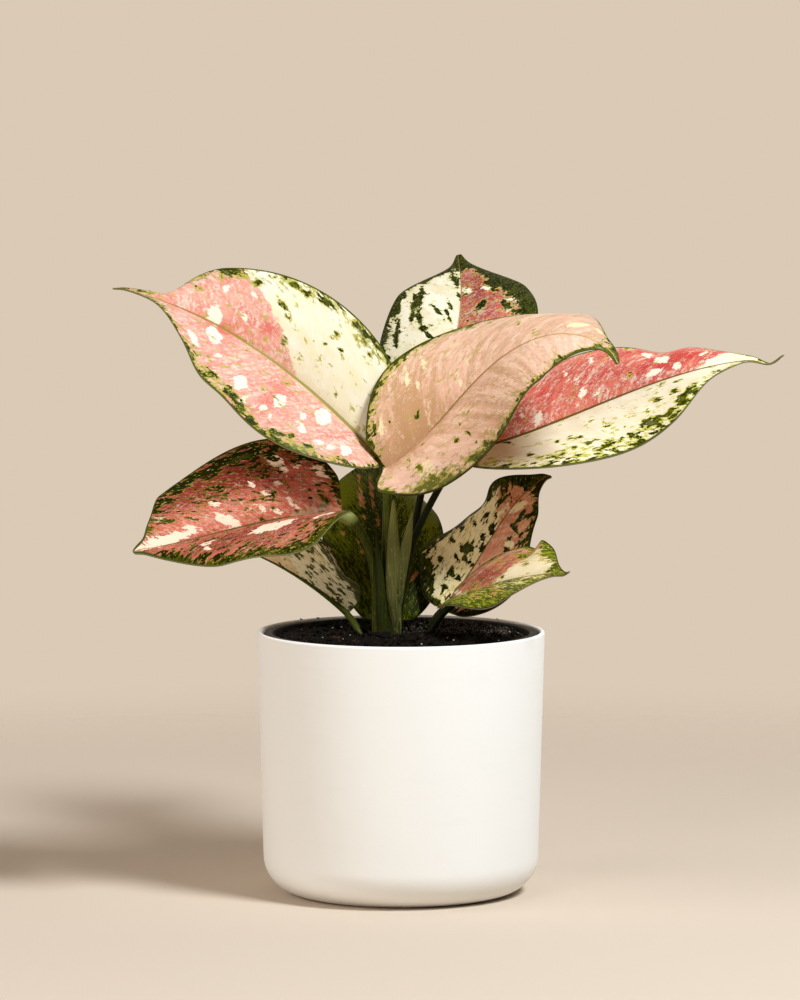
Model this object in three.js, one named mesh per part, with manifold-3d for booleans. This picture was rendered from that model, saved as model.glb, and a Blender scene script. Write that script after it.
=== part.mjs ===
import * as THREE from "three";
import Module from "manifold-3d";

// A potted chinese evergreen: nine variegated leaves that rise from one short shoot and three
// side stalks, in soil, in a black nursery pot that stands inside a smooth off-white outer pot.
// Millimetres, +Z up. The origin is the centre of the outer pot's flat underside, +X is to the
// viewer's right and +Y is away from the viewer.

const { Manifold, Mesh: SolidMesh } = await (async () => {
  const wasm = await Module();
  wasm.setup();
  return wasm;
})();

// The outer pot.
const POT_HEIGHT = 128;
const POT_RIM_RADIUS = 70;
const POT_LOW_RADIUS = 67.1;
const POT_CORNER = 18.4;
const POT_WALL = 2.4;
const POT_FLOOR = 3;
const POT_SIDES = 60;
const FOOT_GROOVE = { inner: 18, outer: 43, depth: 0.7 };

// The nursery pot inside it.
const NURSERY_TOP = 125;
const NURSERY_LIP_RADIUS = 66.8;
const NURSERY_LIP_HEIGHT = 8;
const NURSERY_NECK_RADIUS = 62.5;
const NURSERY_BASE_RADIUS = 47;
const NURSERY_WALL = 1.2;
const NURSERY_SIDES = 48;

// The soil.
const SOIL_TOP = 119;
const SOIL_BUMP = 1.1;
const SOIL_RINGS = 5;

// What stays open between two pieces that only rest against each other.
const GAP = 0.3;
const SEAT = 0.4;

// The blades. Their outline rises from the base as this power of the place along the leaf, and the
// drip tip is this much narrower than the outline would be by itself.
const BLADE_THICKNESS = 0.8;
const EDGE_WIDTH = 0.6;
const BASE_POWER = 0.55;
const TIP_NARROWING = 0.8;
const TIP_START = 0.88;
const MIDRIB_STEPS = 160;

// The stalks and the midribs that they run on into, which end at this share of the blade.
const RIB_END = 0.82;
const RIB_END_RADIUS = 0.45;
const STALK_TAPER = 0.2;
const ROD_STEP = 9;
const STALK_SIDES = 8;
const SHOOT_SIDES = 10;
const SHOOT_STEPS = 8;

// A value that passes through three given ones at the start, the middle and the end.
function along([start, middle, end], s) {
  return start * (1 - s) * (1 - 2 * s) + middle * 4 * s * (1 - s) + end * s * (2 * s - 1);
}

// Degrees that run straight from the first value to the second, in radians.
function turned([start, end], s) {
  return THREE.MathUtils.degToRad(start + (end - start) * s);
}

// Each leaf: where its blade starts, how long and how wide half of it is, and three angles in
// degrees at its base, middle and tip. The heading is 0 to the right, 90 away from the viewer and
// 180 to the left, the rise is the slope of the midrib, and a positive roll lifts the side that
// is left of the heading. The sway is how far the drip tip swings up and down again.
// Either side leaves the midrib at its fold, from base to tip, and bends back by its bend at the
// margin, with a wave of so many millimetres, so many times along the leaf. Its lobe reaches so
// far back beside the stalk. Some have folds, each with its place and width along the leaf and how
// far it lifts the margin and pushes it out, or a swell, with its place, width and height halfway
// to the margin. The stalk runs through its own points up to the blade.
const LEAVES = [
  {
    name: "leaf_left",
    base: [-8, -7, 210],
    length: 161,
    half: 42,
    taper: 0.85,
    drip: 0.72,
    heading: [168, 174, 166],
    rise: [47, 34, 10],
    roll: [-35, -55, -4],
    sway: 0.5,
    left: {
      fold: [33, 38],
      bend: [41, 20],
      wave: [2.4, 1.5, 0.2],
      lobe: 1,
      folds: [[0.62, 0.08, 0, 5]],
    },
    right: {
      fold: [44, 24],
      bend: [34, 29],
      wave: [0.6, 1.5, 0.5],
      lobe: 1,
      folds: [[0.84, 0.04, -3.5, -3.5]],
    },
    grid: [8, 20],
    stalk: [[-9, -1, 98], [-8.8, -1, 130], [-7.6, -1.5, 165], [-7, -3.5, 195]],
    stalkRadius: 2.3,
    colour: 0xd98a82,
  },
  {
    name: "leaf_front",
    base: [-6.7, -12.5, 207],
    length: 148,
    half: 40.5,
    taper: 0.6,
    drip: 0.8,
    heading: [-7, -21, -33],
    rise: [33, 40, -51],
    roll: [41, 24, 20],
    sway: 0.8,
    left: {
      fold: [66, 8],
      bend: [21, 38],
      wave: [8, 1, 0.1],
      lobe: 7,
      folds: [[0.71, 0.1, -2.8, 0]],
    },
    right: {
      fold: [16, 0],
      bend: [58, 55],
      wave: [4.8, 0.8, 0.5],
      lobe: 18,
      folds: [[0.03, 0.06, 10, 0]],
      swell: [0.12, 0.16, 5],
    },
    grid: [8, 20],
    stalk: [[-6, -6, 98], [-6, -6, 130], [-5.5, -7, 165], [-6.5, -10, 194]],
    stalkRadius: 2.3,
    colour: 0xdcae9c,
  },
  {
    name: "leaf_right",
    base: [29, 4, 214],
    length: 168,
    half: 38.5,
    taper: 0.85,
    drip: 0.72,
    heading: [10, -10, -27],
    rise: [12, 22, -1],
    roll: [21, 37, 10],
    sway: -2.4,
    left: {
      fold: [24, 10],
      bend: [40, 37],
      wave: [1.6, 2.6, 0],
      lobe: 7,
      folds: [[0.61, 0.055, -4.5, 0]],
    },
    right: {
      fold: [24, 11],
      bend: [41, 36],
      wave: [3.4, 1.5, -0.1],
      lobe: 7,
      folds: [[0.78, 0.05, 0, -4], [0.12, 0.12, 1.4, 0]],
    },
    grid: [8, 20],
    stalk: [[-2, -2.5, 98], [-1.6, -2.5, 130], [3.8, -0.5, 163], [8.2, 0.5, 177], [22, 3.2, 203]],
    stalkRadius: 2,
    colour: 0xcf6a70,
  },
  {
    name: "leaf_back",
    base: [20, 14, 239],
    length: 164,
    half: 40,
    taper: 0.85,
    drip: 0.72,
    heading: [76, 87, 93],
    rise: [43, 21, 15],
    roll: [1, -5, -12],
    sway: 0.8,
    left: { fold: [19, 11], bend: [46, 36], wave: [3.5, 1.6, 0.1], lobe: 6 },
    right: { fold: [19, 13], bend: [45, 33], wave: [1.6, 1.6, 0.6], lobe: 6 },
    grid: [8, 20],
    stalk: [[-3.4, 2.2, 98], [-3.2, 2.2, 130], [5.5, 5.5, 172], [11.5, 9, 202], [16.5, 12, 224]],
    stalkRadius: 2,
    colour: 0x7d9a55,
  },
  {
    name: "leaf_lower_left",
    base: [-28.5, -8, 186],
    length: 113,
    half: 40,
    taper: 0.75,
    drip: 0.72,
    heading: [199, 208, 216],
    rise: [2, -10, -3],
    roll: [-34, -33, -16],
    sway: 0.4,
    left: {
      fold: [53, 14],
      bend: [26, 39],
      wave: [4.1, 1.7, 0.2],
      lobe: 4,
      folds: [[0.28, 0.08, 0, 1.8]],
    },
    right: {
      fold: [61, 19],
      bend: [18, 35],
      wave: [5.7, 1.3, 0],
      lobe: 4,
      folds: [[0.3, 0.15, 0, -1.8], [0.87, 0.06, 0, 3]],
    },
    grid: [8, 16],
    stalk: [[-11.6, -6, 98], [-11.8, -6, 125], [-12.8, -6, 155], [-17, -6.6, 172], [-24, -7.5, 182.5]],
    stalkRadius: 2.4,
    colour: 0x8f4a48,
  },
  {
    name: "leaf_low_back",
    base: [-6, 14, 131],
    length: 119,
    half: 29,
    taper: 0.85,
    drip: 0.72,
    heading: [85, 99, 91],
    rise: [66, 39, 21],
    roll: [0, 0, 0],
    sway: 0.8,
    left: {
      fold: [20, 12],
      bend: [45, 35],
      wave: [3, 1.5, 0],
      lobe: 4,
      folds: [[0.43, 0.12, 0, 2]],
    },
    right: { fold: [20, 12], bend: [45, 37], wave: [3.4, 1.7, 0.5], lobe: 4 },
    grid: [6, 14],
    stalk: [[-5, 12, 95], [-5.2, 12.3, 117]],
    stalkRadius: 2,
    colour: 0x2f4a1c,
  },
  {
    name: "leaf_folded",
    base: [-25, 4, 136.5],
    length: 64,
    half: 27,
    taper: 0.85,
    drip: 0.72,
    heading: [182, 172, 159],
    rise: [40, 30, 15],
    roll: [8, -2, 1],
    sway: -0.6,
    left: {
      fold: [64, 50],
      bend: [15, 20],
      wave: [4.8, 1.7, 0.3],
      lobe: 1,
      folds: [[0.16, 0.13, -3.5, 0]],
    },
    right: { fold: [46, 42], bend: [20, 20], wave: [2, 1.5, 0.5], lobe: 1, folds: [[0.24, 0.2, 0, -6]] },
    grid: [6, 12],
    stalk: [[-17.2, -5.5, 95], [-17.8, -5, 117], [-21.6, -1, 129.5]],
    stalkRadius: 2,
    colour: 0xb9a58c,
  },
  {
    name: "leaf_upright",
    base: [19.5, 6, 138],
    length: 89,
    half: 27.5,
    taper: 0.9,
    drip: 0.72,
    heading: [40, 24, 25],
    rise: [33, 55, 21],
    roll: [22, 20, 14],
    sway: 0.6,
    left: {
      fold: [23, 30],
      bend: [40, 19],
      wave: [6.8, 1.6, -0.1],
      lobe: 2,
      folds: [[0.67, 0.08, -4.5, -1.5]],
    },
    right: { fold: [16, 13], bend: [48, 34], wave: [2.1, 1.5, 0.3], lobe: 2 },
    grid: [6, 14],
    stalk: [[12.6, 3.2, 95], [13.2, 3.6, 120], [15.6, 4.6, 131.5]],
    stalkRadius: 2,
    colour: 0xa9a27c,
  },
  {
    name: "leaf_lower_right",
    base: [24, -6, 142.5],
    length: 75,
    half: 25.5,
    taper: 0.85,
    drip: 0.72,
    heading: [-31, -39, -42],
    rise: [27, 14, 5],
    roll: [17, 32, 24],
    sway: -0.5,
    left: {
      fold: [28, 19],
      bend: [37, 27],
      wave: [0.9, 1.5, 0.1],
      lobe: 6,
      folds: [[0.55, 0.04, -2.4, 0], [0.66, 0.06, 3.2, 0]],
    },
    right: { fold: [30, 17], bend: [35, 29], wave: [2, 1.7, 0.9], lobe: 6 },
    grid: [6, 14],
    stalk: [[8.6, -6.4, 95], [10.4, -6.2, 118], [14.2, -6, 128], [19, -6, 135.5]],
    stalkRadius: 2.2,
    colour: 0x7f9350,
  },
];

// The blade's half width as a share of its widest. A larger taper makes it more pointed, and from
// the drip onwards it narrows to the thin tip.
function outline({ taper, drip }, s) {
  const shape = (place) => place ** BASE_POWER * (1 - place) ** taper;
  const widest = BASE_POWER / (BASE_POWER + taper);
  const narrowing = 1 - TIP_NARROWING * THREE.MathUtils.smoothstep(s, drip, 0.97);
  return (shape(s) / shape(widest)) * narrowing;
}

// The midrib's direction, the direction of the blade's left side and the blade's upper normal.
function frameAt(leaf, s) {
  const heading = THREE.MathUtils.degToRad(along(leaf.heading, s));
  const rise = THREE.MathUtils.degToRad(along(leaf.rise, s));
  const roll = THREE.MathUtils.degToRad(along(leaf.roll, s));
  const forward = new THREE.Vector3(
    Math.cos(heading) * Math.cos(rise),
    Math.sin(heading) * Math.cos(rise),
    Math.sin(rise),
  );
  const level = new THREE.Vector3(-Math.sin(heading), Math.cos(heading), 0);
  const side = level.clone().applyAxisAngle(forward, roll);
  const normal = forward.clone().cross(side);
  return { forward, side, normal };
}

// The midrib's points from the base to the tip.
function midribOf(leaf) {
  const point = new THREE.Vector3(...leaf.base);
  const points = [point.clone()];
  for (let i = 0; i < MIDRIB_STEPS; i++) {
    const { forward } = frameAt(leaf, (i + 0.5) / MIDRIB_STEPS);
    point.addScaledVector(forward, leaf.length / MIDRIB_STEPS);
    const tip = Math.max(0, ((i + 1) / MIDRIB_STEPS - TIP_START) / (1 - TIP_START));
    const swing = leaf.sway * Math.sin(1.4 * Math.PI * tip ** 2);
    points.push(point.clone().setZ(point.z + swing));
  }
  return points;
}

function midribAt(midrib, s) {
  const place = s * MIDRIB_STEPS;
  const i = Math.min(Math.floor(place), MIDRIB_STEPS - 1);
  return midrib[i].clone().lerp(midrib[i + 1], place - i);
}

// A smooth hump that is 1 at its place and falls to nothing about two widths away.
function hump(s, place, width) {
  return Math.exp(-(((s - place) / width) ** 2));
}

// A point of the blade's middle surface: s runs from base to tip, t from -1 at the right margin
// through the midrib to 1 at the left margin.
function bladePoint(leaf, midrib, s, t) {
  const { forward, side, normal } = frameAt(leaf, s);
  const shape = t < 0 ? leaf.right : leaf.left;
  const u = Math.abs(t);
  const fold = turned(shape.fold, s);
  const bend = turned(shape.bend, s);
  const half = EDGE_WIDTH + leaf.half * outline(leaf, s);
  const [height, count, phase] = shape.wave;
  const wave = height * u ** 2 * Math.sqrt(Math.sin(Math.PI * s));
  let reach = (half * (Math.sin(fold) - Math.sin(fold - bend * u))) / bend;
  let lift = (half * (Math.cos(fold - bend * u) - Math.cos(fold))) / bend;
  lift += wave * Math.sin(2 * Math.PI * (count * s + phase));
  for (const [place, width, up, out] of shape.folds ?? []) {
    reach += out * u ** 2 * hump(s, place, width);
    lift += up * u ** 2 * hump(s, place, width);
  }
  if (shape.swell) {
    const [place, width, rise] = shape.swell;
    lift += rise * 4 * u * (1 - u) * hump(s, place, width);
  }
  const back = shape.lobe * u ** 1.5 * (1 - s) ** 6 * THREE.MathUtils.smoothstep(s, 0, 0.05);
  return midribAt(midrib, s)
    .addScaledVector(side, Math.sign(t) * reach)
    .addScaledVector(normal, lift)
    .addScaledVector(forward, -back);
}

// Rows lie closer together near the base and the tip.
function rowAt(i, rows) {
  const even = i / rows;
  return THREE.MathUtils.clamp(0.55 * even + 0.45 * (0.5 - 0.5 * Math.cos(Math.PI * even)), 0.004, 0.999);
}

// The blade as one closed sheet: its two faces are the same grid, moved apart along the normals.
function bladeGeometry(leaf, midrib) {
  const [columns, rows] = leaf.grid;
  const middle = new THREE.PlaneGeometry(1, 1, columns, rows);
  const position = middle.getAttribute("position");
  for (let i = 0; i < position.count; i++) {
    const row = Math.floor(i / (columns + 1));
    const column = i % (columns + 1);
    const point = bladePoint(leaf, midrib, rowAt(row, rows), 1 - (2 * column) / columns);
    position.setXYZ(i, point.x, point.y, point.z);
  }
  middle.computeVertexNormals();
  const normals = middle.getAttribute("normal");
  const faces = middle.getIndex().array;
  const count = position.count;
  const points = [];
  for (const offset of [0.5, -0.5]) {
    for (let i = 0; i < count; i++) {
      const normal = new THREE.Vector3().fromBufferAttribute(normals, i);
      const point = new THREE.Vector3().fromBufferAttribute(position, i);
      point.addScaledVector(normal, offset * BLADE_THICKNESS);
      points.push(point.x, point.y, point.z);
    }
  }
  const triangles = [...faces];
  for (let i = 0; i < faces.length; i += 3) {
    triangles.push(faces[i] + count, faces[i + 2] + count, faces[i + 1] + count);
  }
  const rim = [];
  for (let column = 0; column < columns; column++) rim.push(column);
  for (let row = 0; row < rows; row++) rim.push(row * (columns + 1) + columns);
  for (let column = columns; column > 0; column--) rim.push(rows * (columns + 1) + column);
  for (let row = rows; row > 0; row--) rim.push(row * (columns + 1));
  rim.forEach((a, i) => {
    const b = rim[(i + 1) % rim.length];
    triangles.push(a, b, a + count, b, b + count, a + count);
  });
  const sheet = new THREE.BufferGeometry();
  sheet.setAttribute("position", new THREE.Float32BufferAttribute(points, 3));
  sheet.setIndex(triangles);
  return sheet;
}

// A round rod along a curve, from a cylinder whose rings are moved onto it.
function rodGeometry(curve, radiusAt, segments, sides) {
  const rod = new THREE.CylinderGeometry(1, 1, 1, sides, segments);
  const position = rod.getAttribute("position");
  const frames = curve.computeFrenetFrames(segments, false);
  for (let i = 0; i < position.count; i++) {
    const ring = Math.round((0.5 - position.getY(i)) * segments);
    const radius = radiusAt(ring / segments);
    const point = curve
      .getPointAt(ring / segments)
      .addScaledVector(frames.normals[ring], position.getX(i) * radius)
      .addScaledVector(frames.binormals[ring], position.getZ(i) * radius);
    position.setXYZ(i, point.x, point.y, point.z);
  }
  return rod;
}

// The stalk and, under the blade, the midrib that it runs on into.
function stalkCurve(leaf, midrib) {
  const points = leaf.stalk.map((p) => new THREE.Vector3(...p));
  for (const s of [0, 0.04, 0.12, 0.25, 0.4, 0.55, 0.7, RIB_END]) {
    const { normal } = frameAt(leaf, s);
    const depth = 0.95 * ribRadius(leaf, s);
    points.push(midribAt(midrib, s).addScaledVector(normal, -depth));
  }
  return new THREE.CatmullRomCurve3(points, false, "centripetal");
}

function ribRadius(leaf, s) {
  const start = (1 - STALK_TAPER) * leaf.stalkRadius;
  return THREE.MathUtils.lerp(start, RIB_END_RADIUS, Math.min(1, s / RIB_END) ** 0.6);
}

function leafGeometry(leaf) {
  const midrib = midribOf(leaf);
  const curve = stalkCurve(leaf, midrib);
  const total = curve.getLength();
  const stalkShare = 1 - (RIB_END * leaf.length) / total;
  const radiusAt = (share) =>
    share < stalkShare
      ? leaf.stalkRadius * (1 - (STALK_TAPER * share) / stalkShare)
      : ribRadius(leaf, ((share - stalkShare) / (1 - stalkShare)) * RIB_END);
  const stalk = solid(rodGeometry(curve, radiusAt, Math.round(total / ROD_STEP), STALK_SIDES));
  const blade = solid(bladeGeometry(leaf, midrib));
  return blade.add(stalk);
}

// A three.js geometry as a solid, and a solid as a three.js geometry.
function solid(geometry) {
  const loose = geometry.index ? geometry.toNonIndexed() : geometry;
  const position = loose.getAttribute("position");
  const seen = new Map();
  const points = [];
  const triangles = [];
  for (let i = 0; i < position.count; i++) {
    const point = [position.getX(i), position.getY(i), position.getZ(i)];
    const key = point.map((v) => Math.round(v * 1e4)).join();
    if (!seen.has(key)) {
      seen.set(key, points.length / 3);
      points.push(...point);
    }
    triangles.push(seen.get(key));
  }
  const kept = [];
  for (let i = 0; i < triangles.length; i += 3) {
    const [a, b, c] = triangles.slice(i, i + 3);
    if (a !== b && b !== c && c !== a) kept.push(a, b, c);
  }
  return new Manifold(
    new SolidMesh({
      numProp: 3,
      vertProperties: new Float32Array(points),
      triVerts: new Uint32Array(kept),
    }),
  );
}

function geometryOf(body) {
  const mesh = body.getMesh();
  const geometry = new THREE.BufferGeometry();
  geometry.setAttribute("position", new THREE.BufferAttribute(mesh.vertProperties, 3));
  geometry.setIndex(new THREE.BufferAttribute(mesh.triVerts, 1));
  geometry.computeVertexNormals();
  return geometry;
}

// A closed profile of [radius, height] points, outside first, turned about the upright axis.
function turnedSolid(profile, sides) {
  const points = profile.map(([radius, height]) => new THREE.Vector2(radius, height));
  const lathe = new THREE.LatheGeometry(points, sides);
  lathe.rotateX(Math.PI / 2);
  return solid(lathe);
}

// Points on a quarter circle between two directions in degrees.
function arc(centreRadius, centreHeight, radius, from, to, steps) {
  const points = [];
  for (let i = 0; i <= steps; i++) {
    const angle = THREE.MathUtils.degToRad(from + ((to - from) * i) / steps);
    points.push([centreRadius + radius * Math.cos(angle), centreHeight + radius * Math.sin(angle)]);
  }
  return points;
}

function potSolid() {
  const { inner, outer, depth } = FOOT_GROOVE;
  const corner = POT_LOW_RADIUS - POT_CORNER;
  const edge = POT_WALL / 2;
  const insideCorner = POT_CORNER - POT_WALL;
  return turnedSolid(
    [
      [0, 0],
      [inner, 0],
      [inner + depth, depth],
      [outer - depth, depth],
      [outer, 0],
      ...arc(corner, POT_CORNER, POT_CORNER, -90, 0, 7),
      ...arc(POT_RIM_RADIUS - edge, POT_HEIGHT - edge, edge, 0, 180, 4),
      ...arc(corner, POT_FLOOR + insideCorner, insideCorner, 0, -90, 4),
      [0, POT_FLOOR],
    ],
    POT_SIDES,
  );
}

function nurserySolid() {
  const floor = POT_FLOOR + GAP;
  const wall = NURSERY_WALL;
  const lipFoot = NURSERY_TOP - NURSERY_LIP_HEIGHT;
  return turnedSolid(
    [
      [0, floor],
      [NURSERY_BASE_RADIUS - 2, floor],
      [NURSERY_BASE_RADIUS, floor + 2],
      [NURSERY_NECK_RADIUS, lipFoot - 2],
      [NURSERY_NECK_RADIUS + 1, lipFoot + 3],
      [NURSERY_LIP_RADIUS - wall, lipFoot + 4],
      [NURSERY_LIP_RADIUS - wall, lipFoot],
      [NURSERY_LIP_RADIUS, lipFoot],
      [NURSERY_LIP_RADIUS, NURSERY_TOP - 0.5],
      [NURSERY_LIP_RADIUS - 0.5, NURSERY_TOP],
      [NURSERY_NECK_RADIUS + 1, NURSERY_TOP],
      [NURSERY_NECK_RADIUS, NURSERY_TOP - 0.8],
      [NURSERY_NECK_RADIUS - wall, lipFoot - 2],
      [NURSERY_BASE_RADIUS - wall, floor + 2.4],
      [NURSERY_BASE_RADIUS - 2.4, floor + wall],
      [0, floor + wall],
    ],
    NURSERY_SIDES,
  );
}

// How high the soil's surface stands at a point: a low dome with clods.
function soilHeight(x, y) {
  const clods =
    Math.sin(0.31 * x + 1.3) * Math.cos(0.27 * y - 0.4) +
    0.6 * Math.sin(0.53 * x - 0.41 * y) +
    0.4 * Math.cos(0.83 * y + 0.37 * x);
  const dome = 1.5 * (1 - (x * x + y * y) / 60 ** 2);
  return SOIL_TOP + dome + SOIL_BUMP * clods;
}

function soilSolid() {
  const floor = POT_FLOOR + GAP + NURSERY_WALL + GAP;
  const top = new THREE.Vector2(NURSERY_NECK_RADIUS - NURSERY_WALL - GAP - 0.1, SOIL_TOP);
  const foot = new THREE.Vector2(NURSERY_BASE_RADIUS - NURSERY_WALL - GAP - 0.1, floor + 2.4);
  const profile = [new THREE.Vector2(0, floor), new THREE.Vector2(foot.x - 2, floor), foot, top];
  for (let ring = SOIL_RINGS - 1; ring > 0; ring--) {
    profile.push(new THREE.Vector2((top.x * ring) / SOIL_RINGS, SOIL_TOP));
  }
  profile.push(new THREE.Vector2(0, SOIL_TOP));
  const lathe = new THREE.LatheGeometry(profile, NURSERY_SIDES);
  lathe.rotateX(Math.PI / 2);
  const position = lathe.getAttribute("position");
  for (let i = 0; i < position.count; i++) {
    if (position.getZ(i) < SOIL_TOP - 0.01) continue;
    const x = position.getX(i);
    const y = position.getY(i);
    const edge = THREE.MathUtils.smoothstep(Math.hypot(x, y), top.x - 6, top.x);
    position.setZ(i, THREE.MathUtils.lerp(soilHeight(x, y), SOIL_TOP - 1, edge));
  }
  return solid(lathe);
}

// The rootstock in the soil, the shoot's core between the stalks and the pale sheaths that clasp
// it in front, each a rod whose radius runs through three values from foot to top.
const SHOOT = [
  { points: [[-6.5, -3, 84], [-6.5, -3, 98], [-6.3, -3, 113]], radius: [8.5, 9.3, 7] },
  { points: [[-6, -2.4, 105], [-5.6, -2.4, 130], [-4, -2.4, 160]], radius: [5, 4.6, 2.6] },
  {
    points: [[-3, -6.6, 106], [-3, -7.4, 121], [-4.4, -8.8, 143], [-2.6, -10, 165], [-2.9, -11.8, 194]],
    radius: [1.8, 2.6, 1.5],
  },
  { points: [[-3.8, -9, 148], [-0.6, -9.4, 162], [4.4, -8, 178], [6.8, -7, 190]], radius: [2, 2.2, 0.9] },
  {
    points: [[-8.8, -7.4, 106], [-9, -8.6, 140], [-10.4, -8.8, 160], [-11.7, -8.6, 176]],
    radius: [1.8, 1.8, 1],
  },
];

function shootSolid(extra) {
  const rods = SHOOT.map(({ points, radius }) => {
    const nodes = points.map((p) => new THREE.Vector3(...p));
    nodes[0].z -= extra;
    nodes.at(-1).z += extra;
    const curve = new THREE.CatmullRomCurve3(nodes, false, "centripetal");
    return solid(rodGeometry(curve, (share) => along(radius, share) + extra, SHOOT_STEPS, SHOOT_SIDES));
  });
  return Manifold.union(rods);
}

// The stalk made a little thicker and longer, to cut the place where it sits in a neighbour.
function seatSolid(leaf) {
  const curve = stalkCurve(leaf, midribOf(leaf));
  curve.points[0].z -= SEAT;
  const grown = () => leaf.stalkRadius + SEAT;
  return solid(rodGeometry(curve, grown, Math.round(curve.getLength() / ROD_STEP), STALK_SIDES));
}

const plant = new THREE.Group();
plant.name = "potted_chinese_evergreen";

function place(name, body, colour, roughness) {
  const material = new THREE.MeshStandardMaterial({ color: colour, roughness, metalness: 0 });
  const mesh = new THREE.Mesh(geometryOf(body), material);
  mesh.name = name;
  plant.add(mesh);
}

const seats = Manifold.union(LEAVES.map(seatSolid));

place("pot", potSolid(), 0xf4efe6, 0.6);
place("nursery_pot", nurserySolid(), 0x15140f, 0.5);
place("soil", soilSolid().subtract(seats).subtract(shootSolid(SEAT)), 0x1f1710, 1);
place("stem_crown", shootSolid(0).subtract(seats), 0x6f7d3c, 0.55);
for (const leaf of LEAVES) {
  place(leaf.name, leafGeometry(leaf), leaf.colour, 0.5);
}

export default plant;
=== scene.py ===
import math
import random

import bmesh
import bpy
import numpy as np
from mathutils import Matrix, Vector, noise


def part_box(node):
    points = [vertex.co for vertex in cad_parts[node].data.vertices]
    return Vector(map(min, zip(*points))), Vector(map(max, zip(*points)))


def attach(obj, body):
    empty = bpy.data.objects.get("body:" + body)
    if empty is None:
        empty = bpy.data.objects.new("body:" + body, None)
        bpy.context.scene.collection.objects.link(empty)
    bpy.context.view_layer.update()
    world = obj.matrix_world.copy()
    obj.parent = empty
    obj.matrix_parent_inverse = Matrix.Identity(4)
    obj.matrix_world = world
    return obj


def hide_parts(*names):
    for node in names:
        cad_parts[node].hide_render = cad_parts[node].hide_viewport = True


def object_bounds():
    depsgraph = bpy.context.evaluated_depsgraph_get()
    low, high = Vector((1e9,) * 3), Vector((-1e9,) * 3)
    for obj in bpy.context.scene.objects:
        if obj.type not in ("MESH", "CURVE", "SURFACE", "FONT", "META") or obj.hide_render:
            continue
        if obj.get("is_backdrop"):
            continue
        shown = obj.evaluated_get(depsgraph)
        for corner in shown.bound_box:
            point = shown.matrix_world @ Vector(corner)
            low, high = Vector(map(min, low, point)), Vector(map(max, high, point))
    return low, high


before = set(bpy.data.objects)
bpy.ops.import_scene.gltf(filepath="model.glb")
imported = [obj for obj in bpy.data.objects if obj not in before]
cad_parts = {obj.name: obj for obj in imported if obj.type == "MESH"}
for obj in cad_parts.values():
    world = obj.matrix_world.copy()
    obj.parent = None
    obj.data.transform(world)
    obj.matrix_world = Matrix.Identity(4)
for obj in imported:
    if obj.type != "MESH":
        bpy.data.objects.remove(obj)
cad_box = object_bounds()

# Outer pot: one smooth thick-walled pot of matt off-white plastic, with a round foot, a soft
# rounded rim and a shallow ring groove underneath. It is moulded in one piece and stands free.
MM = 0.001
POT_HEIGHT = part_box("pot")[1].z / MM
POT_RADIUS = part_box("pot")[1].x / MM
POT_LOW_RADIUS = 67.1
POT_CORNER = 18.4
POT_WALL = 2.4
POT_FLOOR = 3
GROOVE = (18, 43, 0.7)
TURN_STEPS = 192


def arc(radius, height, size, start, end, steps):
    """Points on an arc about [radius, height], between two directions in degrees."""
    angles = np.radians(np.linspace(start, end, steps + 1))
    return [(radius + size * math.cos(a), height + size * math.sin(a)) for a in angles]


def object_from(name, mesh, materials):
    """A bmesh as a smooth object in the scene, at the origin, with its materials."""
    data = bpy.data.meshes.new(name)
    mesh.to_mesh(data)
    mesh.free()
    made = bpy.data.objects.new(name, data)
    bpy.context.scene.collection.objects.link(made)
    for material in materials:
        data.materials.append(material)
    data.shade_smooth()
    return made


def turned(profile):
    """A closed shell from [radius, height] points in mm, from axis to axis, outside first."""
    shell = bmesh.new()
    line = [shell.verts.new((r * MM, 0, h * MM)) for r, h in profile]
    edges = [shell.edges.new(pair) for pair in zip(line, line[1:])]
    bmesh.ops.spin(
        shell,
        geom=line + edges,
        cent=(0, 0, 0),
        axis=(0, 0, 1),
        angle=2 * math.pi,
        steps=TURN_STEPS,
        use_merge=True,
    )
    bmesh.ops.remove_doubles(shell, verts=shell.verts, dist=1e-6)
    bmesh.ops.recalc_face_normals(shell, faces=shell.faces)
    return shell


def shade(red, green, blue):
    """A colour as the eye names it, 0 to 255, as the linear values that a shader takes."""
    parts = [value / 255 for value in (red, green, blue)]
    return (*[p / 12.92 if p < 0.04 else ((p + 0.055) / 1.055) ** 2.4 for p in parts], 1)


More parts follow.
